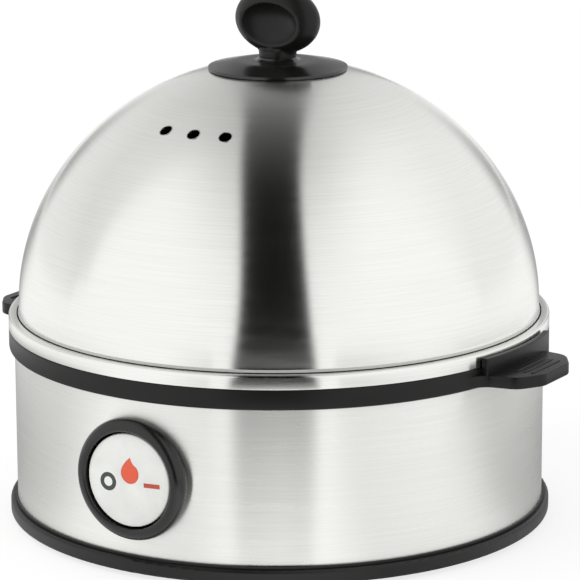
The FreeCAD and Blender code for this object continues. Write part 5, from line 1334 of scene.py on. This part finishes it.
def reflected_studio(stage):
    """White sky with a soft dark flag in front, and a grey back and floor."""
    turn = stage.azimuth + stage.flag_swing
    towards = Vector((math.sin(turn), -math.cos(turn), 0))
    aside = Vector((math.cos(turn), math.sin(turn), 0))
    upward = Vector((0, 0, 1))
    edge = math.degrees(stage.flag_edge)
    sides = [*range(-80, -24, 4), *range(-24, 25), *range(28, 81, 4)]

    def row_at(centre, radius, rise):
        """One row across, from side to side."""
        row = []
        for side in sides:
            half = math.radians(side)
            place = centre * math.cos(half) + aside * (radius * math.sin(half)) + upward * MM
            row.append((place, sky_tone(rise, side, edge)))
        return row

    sky = []
    for rise in range(0, 179, 2):
        swing = math.radians(rise)
        centre = (towards * math.cos(swing) + upward * math.sin(swing)) * stage.sky_reach
        sky.append(row_at(centre, stage.sky_reach, rise))
    reflected_sheet("reflected_sky", sky)
    runs = [stage.flag_start * (stage.sky_reach / stage.flag_start) ** (step / 6)
            for step in range(7)]
    sides = [side for side in sides if abs(side) < 24]
    reflected_sheet("flag_on_floor", [row_at(towards * run, run, 0) for run in runs])
    rings = (stage.shade_start, stage.shade_reach, stage.side_start, stage.side_reach,
             stage.back_start, stage.sky_reach)
    shade = []
    for ring, radius in enumerate(rings):
        row = []
        for bearing in range(-180, 181, 4):
            turned_to = stage.azimuth + math.radians(bearing)
            place = Vector((math.sin(turned_to), -math.cos(turned_to), 0)) * radius
            row.append((place + upward * MM / 2, floor_tones(bearing)[ring]))
        shade.append(row)
    reflected_sheet("floor_shade", shade)


def pale_floor(radius):
    """A plain white floor that keeps the object's shadow."""
    form = bmesh.new()
    bmesh.ops.create_circle(form, cap_ends=True, segments=96, radius=radius)
    mesh = bpy.data.meshes.new("pale_floor")
    form.to_mesh(mesh)
    form.free()
    material = bpy.data.materials.new("pale_floor")
    material.use_nodes = True
    tree = material.node_tree
    tree.nodes.clear()
    matt = add(tree, "ShaderNodeBsdfDiffuse", {"Color": rgba(linear("#fbfbfa"))})
    glow = add(tree, "ShaderNodeEmission", {"Color": WHITE, "Strength": 1.0})
    seen = add(tree, "ShaderNodeLightPath").outputs["Is Camera Ray"]
    part = maths(tree, "MULTIPLY", seen, FLOOR_GLOW)
    mixed = add(tree, "ShaderNodeMixShader", links={0: part, 1: matt, 2: glow})
    add(tree, "ShaderNodeOutputMaterial", links={"Surface": mixed})
    mesh.materials.append(material)
    floor = show(bpy.data.objects.new("pale_floor", mesh))


def studio_light():
    """A white surround and one large soft lamp."""
    world = bpy.data.worlds.new("white_surround")
    bpy.context.scene.world = world
    world.use_nodes = True
    tree = world.node_tree
    tree.nodes.clear()
    white = add(tree, "ShaderNodeBackground", {"Color": WHITE, "Strength": 1.0})
    add(tree, "ShaderNodeOutputWorld", links={"Surface": white})
    lamp = bpy.data.lights.new("soft_box", "AREA")
    lamp.shape = "RECTANGLE"
    lamp.size = LAMP_WIDTH
    lamp.size_y = LAMP_DEPTH
    lamp.energy = LAMP_POWER
    box = show(bpy.data.objects.new("soft_box", lamp))
    box.location = LAMP_PLACE
    box.rotation_euler = (LAMP_PLACE - LAMP_AIM).to_track_quat("Z", "Y").to_euler()
    box.visible_glossy = False


def place_camera(stage):
    """The camera at the photograph's angle."""
    turn, lift, roll = stage.azimuth, stage.elevation, stage.roll
    back = Vector((math.sin(turn) * math.cos(lift), -math.cos(turn) * math.cos(lift),
                   math.sin(lift)))
    right = Vector((math.cos(turn), math.sin(turn), 0))
    above = back.cross(right)
    across = right * math.cos(roll) + above * math.sin(roll)
    upright = above * math.cos(roll) - right * math.sin(roll)
    lens = bpy.data.cameras.new("camera")
    lens.lens = stage.lens
    lens.sensor_width = 36.0
    lens.clip_end = 100
    camera = show(bpy.data.objects.new("camera", lens))
    target = right * stage.aim_side + Vector((0, 0, stage.aim_height))
    turned_to = Matrix((across, upright, back)).transposed().to_4x4()
    camera.matrix_world = Matrix.Translation(target + back * stage.distance) @ turned_to
    bpy.context.scene.camera = camera


def build_stage(stage):
    """Camera, light, floor and what the steel reflects."""
    scene = bpy.context.scene
    scene.view_settings.view_transform = "Standard"
    place_camera(stage)
    studio_light()
    pale_floor(stage.floor)
    reflected_studio(stage)


class EGGCOOKER_OT_lid(bpy.types.Operator):
    """Make the brushed lid with its steam holes"""
    bl_idname = "egg_cooker.lid"
    bl_label = "Lid"

    def execute(self, context):
        build_lid(context.scene.egg_cooker_lid)
        return {"FINISHED"}


class EGGCOOKER_OT_knob(bpy.types.Operator):
    """Make the knob's disc and grip"""
    bl_idname = "egg_cooker.knob"
    bl_label = "Knob"

    def execute(self, context):
        build_knob(context.scene.egg_cooker_knob, context.scene.egg_cooker_lid)
        return {"FINISHED"}


class EGGCOOKER_OT_wrap(bpy.types.Operator):
    """Make the base's brushed wrap and its rear sheet"""
    bl_idname = "egg_cooker.wrap"
    bl_label = "Wrap"

    def execute(self, context):
        build_wrap(context.scene.egg_cooker_base)
        return {"FINISHED"}


class EGGCOOKER_OT_rack(bpy.types.Operator):
    """Make the rack's band and its stops"""
    bl_idname = "egg_cooker.rack"
    bl_label = "Rack band"

    def execute(self, context):
        build_rack(context.scene.egg_cooker_rack)
        return {"FINISHED"}


class EGGCOOKER_OT_handles(bpy.types.Operator):
    """Make the carrying handles and their ridges"""
    bl_idname = "egg_cooker.handles"
    bl_label = "Handles"

    def execute(self, context):
        build_handles(context.scene.egg_cooker_rack)
        return {"FINISHED"}


class EGGCOOKER_OT_bezel(bpy.types.Operator):
    """Make the control's bezel"""
    bl_idname = "egg_cooker.bezel"
    bl_label = "Bezel"

    def execute(self, context):
        build_bezel(context.scene.egg_cooker_control)
        return {"FINISHED"}


class EGGCOOKER_OT_rocker(bpy.types.Operator):
    """Make the rocker cap, its lens and its marks"""
    bl_idname = "egg_cooker.rocker"
    bl_label = "Rocker"

    def execute(self, context):
        build_rocker(context.scene.egg_cooker_control)
        return {"FINISHED"}


class EGGCOOKER_OT_nodes(bpy.types.Operator):
    """Give every carried-over part its finish"""
    bl_idname = "egg_cooker.nodes"
    bl_label = "Other parts"

    def execute(self, context):
        dress_nodes()
        return {"FINISHED"}


class EGGCOOKER_OT_stage(bpy.types.Operator):
    """Set the camera, the light, the floor and what the steel reflects"""
    bl_idname = "egg_cooker.stage"
    bl_label = "Stage"

    def execute(self, context):
        build_stage(context.scene.egg_cooker_stage)
        return {"FINISHED"}


OPERATORS = (EGGCOOKER_OT_lid, EGGCOOKER_OT_knob, EGGCOOKER_OT_wrap, EGGCOOKER_OT_rack,
             EGGCOOKER_OT_handles, EGGCOOKER_OT_bezel, EGGCOOKER_OT_rocker, EGGCOOKER_OT_nodes,
             EGGCOOKER_OT_stage)
SETTINGS = {
    "base": BaseSizes,
    "lid": LidSizes,
    "knob": KnobSizes,
    "rack": RackSizes,
    "control": ControlSizes,
    "finishes": Finishes,
    "stage": StageSizes,
}


class EGGCOOKER_PT_panel(bpy.types.Panel):
    """Sizes, colours and the steps that use them"""
    bl_idname = "EGGCOOKER_PT_panel"
    bl_label = "Egg Cooker"
    bl_space_type = "VIEW_3D"
    bl_region_type = "UI"
    bl_category = "Egg Cooker"

    def draw(self, context):
        for operator in OPERATORS:
            self.layout.operator(operator.bl_idname)
        for name, group in SETTINGS.items():
            box = self.layout.box()
            box.label(text=name.capitalize())
            for item in group.__annotations__:
                box.prop(getattr(context.scene, f"egg_cooker_{name}"), item)


CLASSES = (*SETTINGS.values(), *OPERATORS, EGGCOOKER_PT_panel)


def register():
    for item in CLASSES:
        bpy.utils.register_class(item)
    for name, group in SETTINGS.items():
        setattr(bpy.types.Scene, f"egg_cooker_{name}", PointerProperty(type=group))


def unregister():
    for name in SETTINGS:
        delattr(bpy.types.Scene, f"egg_cooker_{name}")
    for item in reversed(CLASSES):
        bpy.utils.unregister_class(item)


def main():
    """Dress the model, one operator after the other."""
    register()
    for operator in OPERATORS:
        step = operator.bl_idname.split(".")[1]
        getattr(bpy.ops.egg_cooker, step)()


if __name__ == "__main__":
    main()
